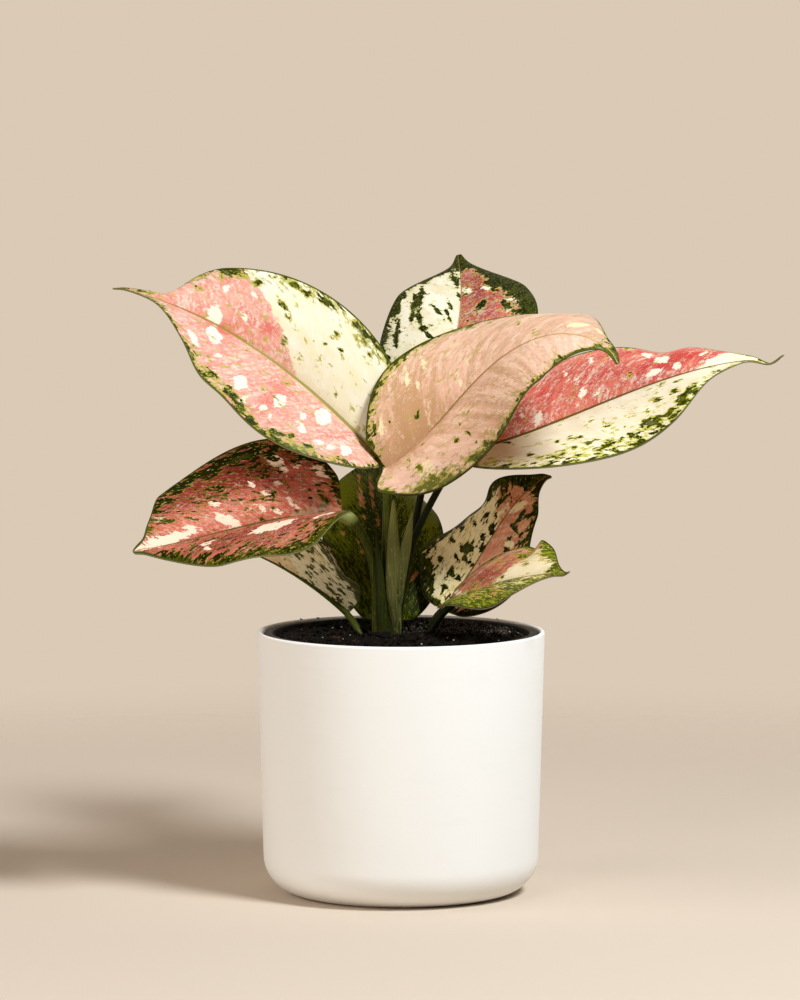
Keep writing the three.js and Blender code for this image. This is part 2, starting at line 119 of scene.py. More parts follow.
class Socket:
    """A socket of a material. Arithmetic on it adds Math nodes, and node() adds any other."""

    def __init__(self, tree, end=None):
        self.tree = tree
        self.end = end

    def node(self, kind, settings=None, inputs=None, take=0):
        """Adds a node, with its settings first, and returns the output that take names."""
        made = self.tree.nodes.new("ShaderNode" + kind)
        for name, value in (settings or {}).items():
            setattr(made, name, value)
        for name, value in (inputs or {}).items():
            if isinstance(value, Socket):
                self.tree.links.new(value.end, made.inputs[name])
            else:
                made.inputs[name].default_value = value
        return Socket(self.tree, made.outputs[take]) if made.outputs else None

    def output(self, name):
        """Another output of the node that this socket belongs to."""
        return Socket(self.tree, self.end.node.outputs[name])

    def math(self, operation, first, second=0.0, clamp=False):
        settings = {"operation": operation, "use_clamp": clamp}
        return self.node("Math", settings, {0: first, 1: second})

    def vector(self, operation, first, second):
        return self.node("VectorMath", {"operation": operation}, {0: first, 1: second})

    def __add__(self, other):
        return self.math("ADD", self, other)

    def __radd__(self, other):
        return self.math("ADD", other, self)

    def __sub__(self, other):
        return self.math("SUBTRACT", self, other)

    def __rsub__(self, other):
        return self.math("SUBTRACT", other, self)

    def __mul__(self, other):
        return self.math("MULTIPLY", self, other)

    def __rmul__(self, other):
        return self.math("MULTIPLY", other, self)

    def __truediv__(self, other):
        return self.math("DIVIDE", self, other)

    def __pow__(self, other):
        return self.math("POWER", self, other)

    def clamped(self):
        return self.math("ADD", self, 0.0, clamp=True)

    def mask(self, sharpness):
        """0 where this is well below zero and 1 where it is well above."""
        return (self * sharpness + 0.5).clamped()

    def mix(self, under, over):
        """The colour under where this is 0, and the colour over where it is 1."""
        return self.node("Mix", {"data_type": "RGBA"}, {0: self, 6: under, 7: over}, take=2)

    def cloud(self, place, sizes, seed, detail=2.0, rough=0.55):
        """Soft noise about one half. Its spots are so many units of place wide each way."""
        scaled = self.vector("MULTIPLY", place, [1 / size for size in sizes])
        moved = self.vector("ADD", scaled, [7.3 * seed, 3.1 * seed, 5.7 * seed])
        values = {"Vector": moved, "Scale": 1.0, "Detail": detail, "Roughness": rough}
        return self.node("TexNoise", {"noise_dimensions": "3D"}, values, take="Fac")


def new_material(name):
    """An empty material, and a socket to build its nodes from."""
    made = bpy.data.materials.new(name)
    made.use_nodes = True
    made.node_tree.nodes.clear()
    return made, Socket(made.node_tree)


def surface(start, colour, roughness, height=None, fixed=None):
    """The shader and its output. height is relief in mm, and fixed holds any other inputs."""
    values = {"Base Color": colour, "Roughness": roughness, **(fixed or {})}
    if height is not None:
        values["Normal"] = start.node("Bump", None, {"Height": height, "Distance": MM})
    shader = start.node("BsdfPrincipled", None, values)
    start.node("OutputMaterial", None, {"Surface": shader})


def pot_finish():
    made, start = new_material("pot_matt_white")
    place = start.node("TexCoord", take="Object")
    drift = start.cloud(place, [0.06] * 3, 1)
    grain = start.cloud(place, [0.0011] * 3, 2, 3.0)
    pores = (0.3 - start.cloud(place, [0.0019] * 3, 3, 1.0)).mask(22)
    scuffs = (start.cloud(place, [0.03, 0.03, 0.004], 4, 4.0) - 0.62).mask(9)
    colour = drift.mix(shade(237, 235, 229), shade(242, 240, 236))
    colour = (pores * 0.05).mix(colour, shade(214, 207, 194))
    colour = (scuffs * 0.05).mix(colour, shade(224, 218, 206))
    height = grain * 0.03 - pores * 0.012
    surface(start, colour, 0.5 + grain * 0.12 - scuffs * 0.1, height, {"IOR": 1.46})
    return made


corner_radius = POT_LOW_RADIUS - POT_CORNER
rim = POT_WALL / 2
inner_corner = POT_CORNER - POT_WALL
groove_in, groove_out, groove_depth = GROOVE
pot_profile = [
    (0, 0),
    (groove_in, 0),
    (groove_in + groove_depth, groove_depth),
    (groove_out - groove_depth, groove_depth),
    (groove_out, 0),
    *arc(corner_radius, POT_CORNER, POT_CORNER, -90, 0, 16),
    *arc(POT_RADIUS - rim, POT_HEIGHT - rim, rim, 0, 180, 12),
    *arc(corner_radius, POT_FLOOR + inner_corner, inner_corner, 0, -90, 10),
    (0, POT_FLOOR),
]
pot = object_from("outer_pot", turned(pot_profile), [pot_finish()])
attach(pot, "root")
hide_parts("pot")

# Nursery pot: the thin black pot that the plant was raised in. It is blow-moulded with a rolled
# lip, and it stands loose on the outer pot's floor, its lip just below the outer rim.
NURSERY_TOP = POT_HEIGHT - 0.7
NURSERY_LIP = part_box("nursery_pot")[1].x / MM
NURSERY_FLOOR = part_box("nursery_pot")[0].z / MM
NURSERY_NECK = 62.5
NURSERY_BASE = 47
NURSERY_WALL = 1.2
LIP_FOOT = NURSERY_TOP - 8


def nursery_finish():
    made, start = new_material("nursery_black")
    place = start.node("TexCoord", take="Object")
    grain = start.cloud(place, [0.0007] * 3, 5, 2.0)
    smear = start.cloud(place, [0.02, 0.02, 0.008], 6, 3.0)
    dust = (start.cloud(place, [0.0032] * 3, 7, 4.0) - 0.6 + 0.25 * (smear - 0.5)).mask(12)
    colour = (smear - 0.5).mask(2).mix(shade(15, 14, 12), shade(26, 24, 21))
    colour = (dust * 0.55).mix(colour, shade(92, 78, 62))
    surface(start, colour, 0.5 + grain * 0.2 + dust * 0.2, grain * 0.03, {"Specular IOR Level": 0.2})
    return made


nursery_profile = [
    (0, NURSERY_FLOOR),
    *arc(NURSERY_BASE - 2, NURSERY_FLOOR + 2, 2, -90, -8, 5),
    (NURSERY_NECK, LIP_FOOT - 2),
    (NURSERY_NECK + 1, LIP_FOOT + 3),
    (NURSERY_LIP - NURSERY_WALL, LIP_FOOT + 4),
    (NURSERY_LIP - NURSERY_WALL, LIP_FOOT),
    (NURSERY_LIP, LIP_FOOT),
    *arc(NURSERY_LIP - 1, NURSERY_TOP - 1, 1, 0, 90, 5),
    *arc(NURSERY_NECK + 0.9, NURSERY_TOP - 0.9, 0.9, 90, 180, 5),
    (NURSERY_NECK - 0.3, LIP_FOOT + 1),
    (NURSERY_NECK - NURSERY_WALL, LIP_FOOT - 2),
    *arc(NURSERY_BASE - 3.2, NURSERY_FLOOR + 3.2, 2, -8, -90, 4),
    (0, NURSERY_FLOOR + NURSERY_WALL),
]
nursery = object_from("inner_pot", turned(nursery_profile), [nursery_finish()])
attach(nursery, "root")
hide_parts("nursery_pot")

# Soil: dark peaty compost that fills the nursery pot to just below its lip, with loose crumbs,
# bits of bark and white perlite grains lying in its surface.
SOIL_TOP = NURSERY_TOP - 1.6
SOIL_BUMP = 1.1
SOIL_DOME = 1.5
SOIL_EDGE = 6
GRAIN_REACH = 59
GRAIN_LIFT = 0.25
GRAIN_ROUGHNESS = 0.55
SOIL_RINGS = 84
SOIL_RADIUS = NURSERY_NECK - NURSERY_WALL - 0.4
SOIL_FOOT = NURSERY_BASE - NURSERY_WALL - 0.4
SOIL_FLOOR = NURSERY_FLOOR + NURSERY_WALL + 0.3


def ease(value, low, high):
    """0 below low, 1 above high, and a smooth step between them."""
    part = np.clip((value - low) / (high - low), 0, 1)
    return part * part * (3 - 2 * part)


def soil_height(x, y):
    """How high the soil stands at a place, all in mm: a low dome with clods and crumbs."""
    clods = math.sin(0.31 * x + 1.3) * math.cos(0.27 * y - 0.4)
    clods += 0.6 * math.sin(0.53 * x - 0.41 * y) + 0.4 * math.cos(0.83 * y + 0.37 * x)
    high = SOIL_TOP + SOIL_DOME * (1 - (x * x + y * y) / 60**2) + SOIL_BUMP * clods
    edge = ease(math.hypot(x, y), SOIL_RADIUS - SOIL_EDGE, SOIL_RADIUS)
    high += (SOIL_TOP - 1 - high) * edge
    crumb = noise.fractal(Vector((x, y, 0)) / 3.4, 0.9, 2.1, 5) * 0.75
    lump = noise.cell(Vector((x, y, 3)) / 2.2) * 0.35
    return high + (crumb + lump) * (1 - 0.7 * edge)


def soil_finish(name, dark, light, dusty):
    """Compost, bark or perlite: two colours in fine grains, with grey dust where it is dry."""
    made, start = new_material(name)
    place = start.node("TexCoord", take="Object")
    grains = start.cloud(place, [0.0011] * 3, 8, 5.0, 0.7)
    fibres = start.cloud(place, [0.0006, 0.004, 0.002], 9, 3.0)
    patch = start.vector("SUBTRACT", place, (0.030, 0.030, 0.121))
    near = start.node("VectorMath", {"operation": "LENGTH"}, {0: patch}, take="Value")
    dust = (0.55 - near * 26 + start.cloud(place, [0.004] * 3, 10, 4.0)).mask(2.5)
    specks = (start.cloud(place, [0.0009] * 3, 11, 2.0) - 0.6).mask(14)
    colour = (grains - 0.52).mask(5).mix(dark, light)
    colour = ((fibres - 0.66).mask(12) * 0.6).mix(colour, shade(96, 66, 40))
    colour = (dust * specks * dusty).mix(colour, shade(122, 112, 98))
    surface(start, colour, 0.82 + grains * 0.16, grains * 0.5, {"Specular IOR Level": 0.1})
    return made


soil_profile = [(0, SOIL_FLOOR), (SOIL_FOOT - 2, SOIL_FLOOR), (SOIL_FOOT, SOIL_FLOOR + 2.1)]
soil_profile += [(SOIL_RADIUS * k / SOIL_RINGS, SOIL_TOP) for k in range(SOIL_RINGS, -1, -1)]
soil_mesh = turned(soil_profile)
for vert in soil_mesh.verts:
    if vert.co.z > (SOIL_TOP - 0.01) * MM:
        vert.co.z = soil_height(vert.co.x / MM, vert.co.y / MM) * MM
compost = soil_finish("compost", shade(7, 5, 2), shade(22, 16, 9), 0.9)
soil = object_from("soil_bed", soil_mesh, [compost])
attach(soil, "root")
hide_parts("soil")


def scatter(count, sizes, stretch, seed, places=None):
    """Small irregular grains half sunk in the soil, each from a low round shape, as one mesh."""
    draw = random.Random(seed)
    grains = bmesh.new()
    for number in range(count):
        distance = GRAIN_REACH * math.sqrt(draw.random())
        angle = draw.uniform(0, 2 * math.pi)
        x, y = distance * math.cos(angle), distance * math.sin(angle)
        z = None
        if places:
            x, y, z = places[number]
        size = draw.uniform(*sizes) * MM
        z = soil_height(x, y) + GRAIN_LIFT * size / MM if z is None else z
        lump = bmesh.ops.create_icosphere(grains, subdivisions=1, radius=size)["verts"]
        turn = Matrix.Rotation(draw.uniform(0, 6.3), 4, Vector((draw.random(), draw.random(), 1)))
        tilt = Matrix.Rotation(draw.uniform(-0.5, 0.5), 4, "X")
        longer = 1 + stretch * draw.random()
        scaling = Matrix.Diagonal((longer, 1, draw.uniform(0.5, 0.85), 1))
        offset = Vector([draw.uniform(0, 90) for _ in range(3)])
        for vert in lump:
            vert.co *= 1 + GRAIN_ROUGHNESS * noise.noise(vert.co / size * 1.3 + offset)
        whole = Matrix.Translation(Vector((x, y, z)) * MM) @ turn @ tilt @ scaling
        bmesh.ops.transform(grains, matrix=whole, verts=lump)
    return grains


RIM_CRUMB_SPOTS = ((-41.6, 55), (-49.4, 48.2), (47.8, 49.7), (36, 58.9))
RIM_CRUMBS = [(x, y, POT_HEIGHT - 0.4) for x, y in RIM_CRUMB_SPOTS]
bark = soil_finish("bark_bits", shade(36, 24, 14), shade(78, 52, 30), 0.2)
perlite = soil_finish("perlite", shade(176, 172, 162), shade(222, 218, 210), 0)
for name, count, sizes, stretch, seed, material, places in (
    ("soil_crumbs", 620, (0.5, 1.7), 0.5, 11, compost, None),
    ("soil_bark", 30, (0.4, 0.9), 3.0, 12, bark, None),
    ("soil_perlite", 70, (0.25, 0.6), 0.4, 13, perlite, None),
    ("rim_crumbs", 4, (0.7, 1.1), 0.8, 14, compost, RIM_CRUMBS),
):
    bits = object_from(name, scatter(count, sizes, stretch, seed, places), [material])
    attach(bits, "root")

# Shoot: the short stem in the middle, hidden by the stalks that rise from it, and the pale thin
# sheaths that clasp it in front. All of it grew as one piece.
SHOOT_SIDES = 24
SHEATH_STEPS = 48
CURVE_STEPS = 24


def between(values, share):
    """A value that passes through three given ones at the start, the middle and the end."""
    start, middle, end = values
    outer = start * (1 - share) * (1 - 2 * share) + end * share * (2 * share - 1)
    return outer + middle * 4 * share * (1 - share)


def curve_through(points, count):
    """Evenly spaced points on a centripetal Catmull-Rom curve through the given ones."""
    points = [np.array(p, float) for p in points]
    points = [2 * points[0] - points[1], *points, 2 * points[-1] - points[-2]]
    fine = []
    for a, b, c, d in zip(points, points[1:], points[2:], points[3:]):
        ab, bc, cd = (math.sqrt(np.linalg.norm(q - p)) for p, q in ((a, b), (b, c), (c, d)))
        leave = ((b - a) / ab - (c - a) / (ab + bc) + (c - b) / bc) * bc
        reach = ((c - b) / bc - (d - b) / (bc + cd) + (d - c) / cd) * bc
        t = np.linspace(0, 1, CURVE_STEPS, endpoint=False)[:, None]
        rise = 3 * t**2 - 2 * t**3
        fine.append(b + (c - b) * rise + leave * (t**3 - 2 * t**2 + t) + reach * (t**3 - t**2))
    fine = np.vstack([*fine, points[-2]])
    walked = np.concatenate([[0], np.cumsum(np.linalg.norm(np.diff(fine, axis=0), axis=1))])
    places = np.linspace(0, walked[-1], count)
    return np.stack([np.interp(places, walked, fine[:, k]) for k in range(3)], 1), walked[-1]


def add_tube(mesh, points, radius_at, sides, flat=1.0):
    """A closed tube along points in mm. flat thins it from front to back."""
    rings = len(points)
    shares = mesh.verts.layers.float.get("share") or mesh.verts.layers.float.new("share")
    grid = bmesh.ops.create_grid(mesh, x_segments=rings - 1, y_segments=sides, size=0.5)
    verts = sorted(grid["verts"], key=lambda v: (round((v.co.x + 0.5) * (rings - 1)), v.co.y))
    tangents = np.gradient(points, axis=0)
    front = np.array((0.0, -1.0, 0.0))
    for ring, point in enumerate(points):
        tangent = tangents[ring] / np.linalg.norm(tangents[ring])
        front = front - tangent * front.dot(tangent)
        front /= np.linalg.norm(front)
        side = np.cross(tangent, front)
        share = ring / (rings - 1)
        for number, vert in enumerate(verts[ring * (sides + 1) : (ring + 1) * (sides + 1)]):
            angle = 2 * math.pi * number / sides
            radius = radius_at(share)
            out = side * math.cos(angle) + front * math.sin(angle) * flat
            vert.co = Vector((point + out * radius) * MM)
            vert[shares] = share
    bmesh.ops.remove_doubles(mesh, verts=verts, dist=1e-7)
    ends = [e for e in mesh.edges if e.is_boundary]
    bmesh.ops.holes_fill(mesh, edges=ends, sides=0)


def stem_finish(name, low, high, fleck, fleck_amount, joint=None):
    """Fleshy green stalk: fine fibres along it, pale flecks, and a pale joint where it bends."""
    made, start = new_material(name)
    place = start.node("TexCoord", take="Object")
    share = start.node("Attribute", {"attribute_name": "share"}, take="Fac")
    fibres = start.cloud(place, [0.0006, 0.0006, 0.03], 15, 3.0)
    drift = start.cloud(place, [0.006, 0.006, 0.02], 16, 2.0)
    flecks = (start.cloud(place, [0.0008, 0.0008, 0.0022], 17, 2.0) - fleck_amount).mask(16)
    colour = (share + 0.6 * (drift - 0.5)).clamped().mix(low, high)
    colour = ((fibres - 0.5).mask(4) * 0.3).mix(colour, fleck)
    colour = (flecks * 0.7).mix(colour, fleck)
    if joint:
        bent = 1 - start.math("ABSOLUTE", share - joint[0]) / joint[1] + 1.6 * (drift - 0.5)
        colour = (bent + 0.9 * (fibres - 0.5)).mask(3).mix(colour, joint[2])
    soil_line = start.node("SeparateXYZ", None, {0: place}, take="Z") / MM
    earthy = ((SOIL_TOP + 5 - soil_line) * 0.12 + 0.8 * (drift - 0.5)).clamped()
    colour = (earthy * 0.55).mix(colour, shade(44, 34, 22))
    surface(start, colour, 0.38 + fibres * 0.16, fibres * 0.12, {"Specular IOR Level": 0.1})
    return made


SHEATHS = [
    ("shoot_core", [(-5, -4, 112), (-4.6, -4.4, 130), (-4, -3, 160)], (5, 4.6, 2.4), 1.0),
    (
        "sheath_left",
        [(-1.2, -8.4, 118), (-2, -9, 132), (-3.8, -9.8, 150), (-3.6, -10.8, 170), (-3.6, -12, 192.5)],
        (0.4, 3.5, 0.6),
        0.42,
    ),
    (
        "sheath_right",
        [(-2.8, -9.2, 140), (-0.4, -10, 158), (3.2, -9.2, 174), (5.6, -8.4, 187)],
        (2.8, 3.2, 0.3),
        0.4,
    ),
    (
        "sheath_small",
        [(-8.8, -8, 112), (-9.2, -9, 142), (-10.6, -9.2, 160), (-12, -9, 178)],
        (2, 2.6, 0.3),
        0.5,
    ),
]
sheath_skin = stem_finish("sheath", shade(26, 30, 3), shade(112, 112, 54), shade(142, 138, 82), 0.66)
core_skin = stem_finish("shoot", shade(26, 30, 4), shade(38, 44, 6), shade(70, 76, 20), 0.66)
shoot_mesh = bmesh.new()
for name, points, radii, flat in SHEATHS:
    line, _ = curve_through(points, SHEATH_STEPS)
    before = set(shoot_mesh.faces)
    add_tube(shoot_mesh, line, lambda share, radii=radii: between(radii, share), SHOOT_SIDES, flat)
    for face in shoot_mesh.faces:
        if face not in before:
            face.material_index = 0 if name in ("shoot_core", "sheath_small") else 1
shoot = object_from("shoot_and_sheaths", shoot_mesh, [core_skin, sheath_skin])
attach(shoot, "root")
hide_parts("stem_crown")

# Leaves: nine fleshy blades, each grown with its stalk as one piece. A blade is a thin sheet that
# folds up from its midrib and bends back to a waved margin, with a sunk midrib and faint veins.
BLADE_THICKNESS = 0.6
EDGE_WIDTH = 0.6
BASE_POWER = 0.55
TIP_NARROWING = 0.8
TIP_START = 0.88
RIB_END = 0.82
RIB_END_RADIUS = 0.45
STALK_TAPER = 0.2
STALK_SIDES = 20
MIDRIB_STEPS = 160
VEIN_LEAN = 1.1
VEIN_CURVE = 0.5
GRAIN_CURVE = 0.3
SPOT_POWER = 1.3
SPOT_REACH = 4
FAR_OUTSIDE = 20.0
VEIN_SPACING = 0.075
COLUMN_POWER = 1.25
STALK_STEPS = 110


def hump(share, place, width):
    """A smooth hump that is 1 at its place and falls to nothing about two widths away."""
    return np.exp(-(((share - place) / width) ** 2))


def outline(leaf, share):
    """The blade's half width as a share of its widest."""

    def shape(place):
        return place**BASE_POWER * (1 - place) ** leaf["taper"]

    widest = BASE_POWER / (BASE_POWER + leaf["taper"])
    narrowing = 1 - TIP_NARROWING * ease(share, leaf["drip"], 0.97)
    return shape(share) / shape(widest) * narrowing


def blade_frame(leaf, share):
    """The midrib's direction, the direction of the left side and the upper normal."""
    heading, rise, roll = (np.radians(between(leaf[k], share)) for k in ("heading", "rise", "roll"))
    flat = np.cos(rise)
    level = np.stack([-np.sin(heading), np.cos(heading), 0 * heading], -1)
    forward = np.stack([np.cos(heading) * flat, np.sin(heading) * flat, np.sin(rise)], -1)
    side = level * np.cos(roll)[..., None] + np.cross(forward, level) * np.sin(roll)[..., None]
    return forward, side, np.cross(forward, side)


def midrib_at(leaf, share):
    """The midrib's points in mm at shares of its length."""
    steps = (np.arange(MIDRIB_STEPS) + 0.5) / MIDRIB_STEPS
    walk = np.cumsum(blade_frame(leaf, steps)[0] * leaf["length"] / MIDRIB_STEPS, axis=0)
    line = np.vstack([np.zeros(3), walk]) + leaf["base"]
    places = np.linspace(0, 1, MIDRIB_STEPS + 1)
    tip = np.clip((places - TIP_START) / (1 - TIP_START), 0, 1)
    line[:, 2] += leaf["sway"] * np.sin(1.4 * np.pi * tip**2)
    return np.stack([np.interp(share, places, line[:, k]) for k in range(3)], -1)


def half_form(shape, share, u, half):
    """How far one half's skin lies out, up and back from the midrib, where u is 1 at the margin."""
    fold, bend = (np.radians(a + (b - a) * share) for a, b in (shape["fold"], shape["bend"]))
    height, count, phase = shape["wave"]
    out = half * (np.sin(fold) - np.sin(fold - bend * u)) / bend
    up = half * (np.cos(fold - bend * u) - np.cos(fold)) / bend
    wave = height * u**2 * np.sqrt(np.sin(np.pi * share))
    up = up + wave * np.sin(2 * np.pi * (count * share + phase))
    for place, width, raised, pushed in shape.get("folds", ()):
        out = out + pushed * u**2 * hump(share, place, width)
        up = up + raised * u**2 * hump(share, place, width)
    for place, width, raised in shape.get("swell", ()):
        up = up + raised * 4 * u * (1 - u) * hump(share, place, width)
    return out, up, shape["lobe"] * u**1.5 * (1 - share) ** 6 * ease(share, 0, 0.05)


def vein_start(leaf, along, across):
    """Where the side vein through a place leaves the midrib, in mm from the base."""
    away = np.abs(across)
    return along - VEIN_LEAN * away - VEIN_CURVE * away**2 / leaf["half"]


def spot_depth(spot, along, across):
    """How far inside a spot a point is: 1 in its middle, 0 at its edge."""
    x, y, long, wide, turn = spot[:5]
    angle = math.radians(turn if y >= 0 else -turn)
    p = (along - x) * math.cos(angle) + (across - y) * math.sin(angle)
    q = (across - y) * math.cos(angle) - (along - x) * math.sin(angle)
    outward = np.abs(2 * p / long) ** SPOT_POWER + np.abs(2 * q / wide) ** SPOT_POWER
    return 1 - outward ** (1 / SPOT_POWER)


def alike(amount, *spots):
    """Spots that all have the same amount."""
    return [(*spot, amount) for spot in spots]


def marks_on(leaf, along, across, t, half, share):
    """For each point: mm inside the pink, mm inside a pale blotch, how green, and how much deeper colour
    and painted shade.
    """

    def with_spots(total, spots):
        for spot in spots:
            away = np.minimum(1 - spot_depth(spot, along, across), SPOT_REACH)
            total = total + spot[5] * np.exp(-(away**2))
        return total

    start = vein_start(leaf, along, across)
    pink, green = 0 * along, 0 * along
    for side, mine in (("right", t < 0), ("left", t >= 0)):
        shape = leaf[side]
        low, high = shape["pink"]
        inside = np.minimum(start - low, high - start)
        band = between(shape["band"], share)
        rim = half * (1 - np.abs(t))
        cover = shape["edge"] * np.exp(-((rim / band) ** 2)) + shape["specks"]
        pink, green = np.where(mine, inside, pink), np.where(mine, cover, green)
    pale = np.full_like(along, -FAR_OUTSIDE)
    for spot in leaf["pale"]:
        pale = np.maximum(pale, spot_depth(spot, along, across) * min(spot[2:4]) * 0.6)
    marks = np.stack([pink, pale, with_spots(green, leaf["dark"])], -1)
    return marks, with_spots(0 * along, leaf["deep"])


def leaf_skin(name, tones, seed, under=False):
    """A variegated skin: pink and cream with streaks along the veins, blotches and green marks."""
    made, start = new_material(name)
    veins = start.node("Attribute", {"attribute_name": "veins"}, take="Vector")
    blade = start.node("Attribute", {"attribute_name": "blade"}, take="Vector")
    marks = start.node("Attribute", {"attribute_name": "marks"}, take="Vector")
    margin = start.node("SeparateXYZ", None, {0: blade})
    rib, share = margin.output("Y"), margin.output("Z")
    pink = start.node("SeparateXYZ", None, {0: marks})
    pale, green = pink.output("Y"), pink.output("Z")
    deep = start.node("Attribute", {"attribute_name": "deep"}, take="Fac")
    broad = start.cloud(veins, (7, 12, 9), seed, 2.0)
    streak = start.cloud(veins, (1.0, 3.2, 1), seed + 1, 3.0, 0.6)
    fine = start.cloud(veins, (0.5, 22, 1), seed + 2, 2.0)
    grain = start.cloud(veins, (0.55, 0.7, 1), seed + 3, 2.0, 0.7)
    bands = start.cloud(veins, (2.4, 40, 1), seed + 7, 3.0, 0.6) - 0.5
    patchy = start.cloud(veins, (2.2, 4.0, 1), seed + 4, 4.0, 0.7)

    # The ground: cream, and pink with cream streaks and flecks, and the pale blotches over both.
    cream = (broad * 1.4 - 0.7 + 0.7 * (fine - 0.5) + 0.5 * (grain - 0.5)).mask(1.6)
    cream = cream.mix(tones["cream"], tones["cream_shade"])
    # The depth attribute pushes the pink towards pink_deep. This is the leaf's own deeper colour, and
    # painted shade where a leaf's depth spots stand for shade.
    flush = broad + 1.5 * (patchy - 0.5) + 1.1 * (grain - 0.5) + tones["banding"] * bands + deep - 0.5
    flush = flush.mask(2.2).mix(tones["pink"], tones["pink_deep"])
    sand = grain + 0.5 * (streak - 0.5) + 0.9 * (patchy - 0.5) - 0.3 * deep - 0.56
    flush = (sand.mask(7) * tones["sand"]).mix(flush, tones["cream"])
    hairs = streak + 0.6 * (broad - 0.5) + 0.5 * (grain - 0.5) - tones["banding"] * bands - 0.3 * deep - 0.6
    flush = (hairs.mask(7) * tones["streaks"]).mix(flush, tones["cream"])
    flecks = (patchy + 0.35 * (grain - 0.5) - 0.2 * deep - tones["fleck_level"]).mask(26)
    flush = (flecks * 0.9).mix(flush, tones["cream"])
    edge_of_pink = pink + 14 * (patchy - 0.5) + 6 * (streak - 0.5)
    colour = edge_of_pink.mask(1.1).mix(cream, flush)
    ragged = pale + 6.5 * (patchy - 0.5) + 2.5 * (streak - 0.5) + 2 * (grain - 0.5)
    colour = ragged.mask(1.8).mix(colour, tones["pale"])

    # The green: ragged cells that close up where the marks are strong, with a lime halo round them.
    warp = {"Vector": veins, "Scale": 0.9, "Detail": 1.0}
    warp = start.node("TexNoise", {"noise_dimensions": "3D"}, warp, take="Color")
    bent = start.vector("ADD", veins, start.vector("MULTIPLY", warp, (1.3, 2.6, 0)))
    cells = start.vector("MULTIPLY", bent, [1 / size for size in (*tones["cell"], 1)])
    cells = {"Vector": cells, "Scale": 1.0}
    cell = start.node("TexVoronoi", {"voronoi_dimensions": "2D"}, cells, take="Color")
    cell = start.node("SeparateXYZ", None, {0: cell})
    clump = start.cloud(veins, (2.6, 6, 1), seed + 5, 3.0, 0.65)
    drift = start.cloud(veins, (8, 15, 1), seed + 6, 1.0)
    mottle = tones["speckle"] * (cell - 0.5) + 1.5 * (clump - 0.5) + 0.7 * (drift - 0.5) - 0.5 + green
    rings = start.vector("MULTIPLY", bent, (1 / 3.4, 1 / 6.2, 0))
    rings = {"Vector": rings, "Scale": 1.0}
    rings = start.node("TexVoronoi", {"voronoi_dimensions": "2D"}, rings, take="Distance")
    rings = 0.07 - start.math("ABSOLUTE", rings - 0.42) + 0.12 * (grain - 0.5)
    ringed = (mottle + 0.42 + 0.8 * (drift - 0.5)).mask(6) * rings.mask(20)
    ringed = ringed * (2.5 - margin / 4).clamped() * tones["rings"]
    colour = ringed.mix(colour, tones["mist"])
    halo = (mottle + tones["spread"] + 0.3 * (grain - 0.5)).mask(8) * tones["halo"]
    colour = halo.mix(colour, tones["lime"])
    # The depth attribute darkens the green too, as deeper colour and as painted shade.
    leafy = (patchy + 0.6 * (grain - 0.5) + 0.25 * (cell - 0.5) + deep - 0.48).mask(5)
    leafy = leafy.mix(tones["green"], tones["green_dark"])
    misty = (drift + 0.5 * (clump - 0.5) - tones["mist_level"]).mask(9) * 0.7
    leafy = misty.mix(leafy, tones["mist"])
    dots = start.vector("MULTIPLY", veins, (1 / 2.1, 1 / 2.6, 0))
    dots = {"Vector": dots, "Scale": 1.0}
    dots = start.node("TexVoronoi", {"voronoi_dimensions": "2D"}, dots, take="Distance")
    dots = (0.1 - dots + 0.3 * (grain - 0.5) + 0.3 * (patchy - 0.5)).mask(22) * tones["dots"]
    leafy = dots.mix(leafy, tones["dot"])
    dark = mottle.mask(14)
    colour = dark.mix(colour, leafy)

    # The midrib, the thin margin and the duller underside.
    width = 0.25 + tones["rib_width"] * (1 - share) ** 0.8
    stripe = (width - rib + 0.5 * (fine - 0.5)).mask(3) * tones["rib_strength"]
    colour = stripe.mix(colour, (share * 2 - 1).clamped().mix(tones["rib"], tones["rib_tip"]))
    edge = (0.7 - margin + 0.8 * (patchy - 0.5)).mask(2.5)
    colour = edge.mix(colour, tones["edge"])
    if under:
        veil = {0: tones["veil"], 6: colour, 7: tones["under"]}
        colour = start.node("Mix", {"data_type": "RGBA"}, veil, take=2)
    height = fine * 0.1 + grain * 0.03 + streak * 0.05 - dark * 0.02
    rough = 0.6 if under else 0.46
    rough = rough + 0.14 * (patchy - 0.5) + 0.08 * (grain - 0.5)
    surface(start, colour, rough, height, {"Specular IOR Level": tones["gloss"]})
    return made


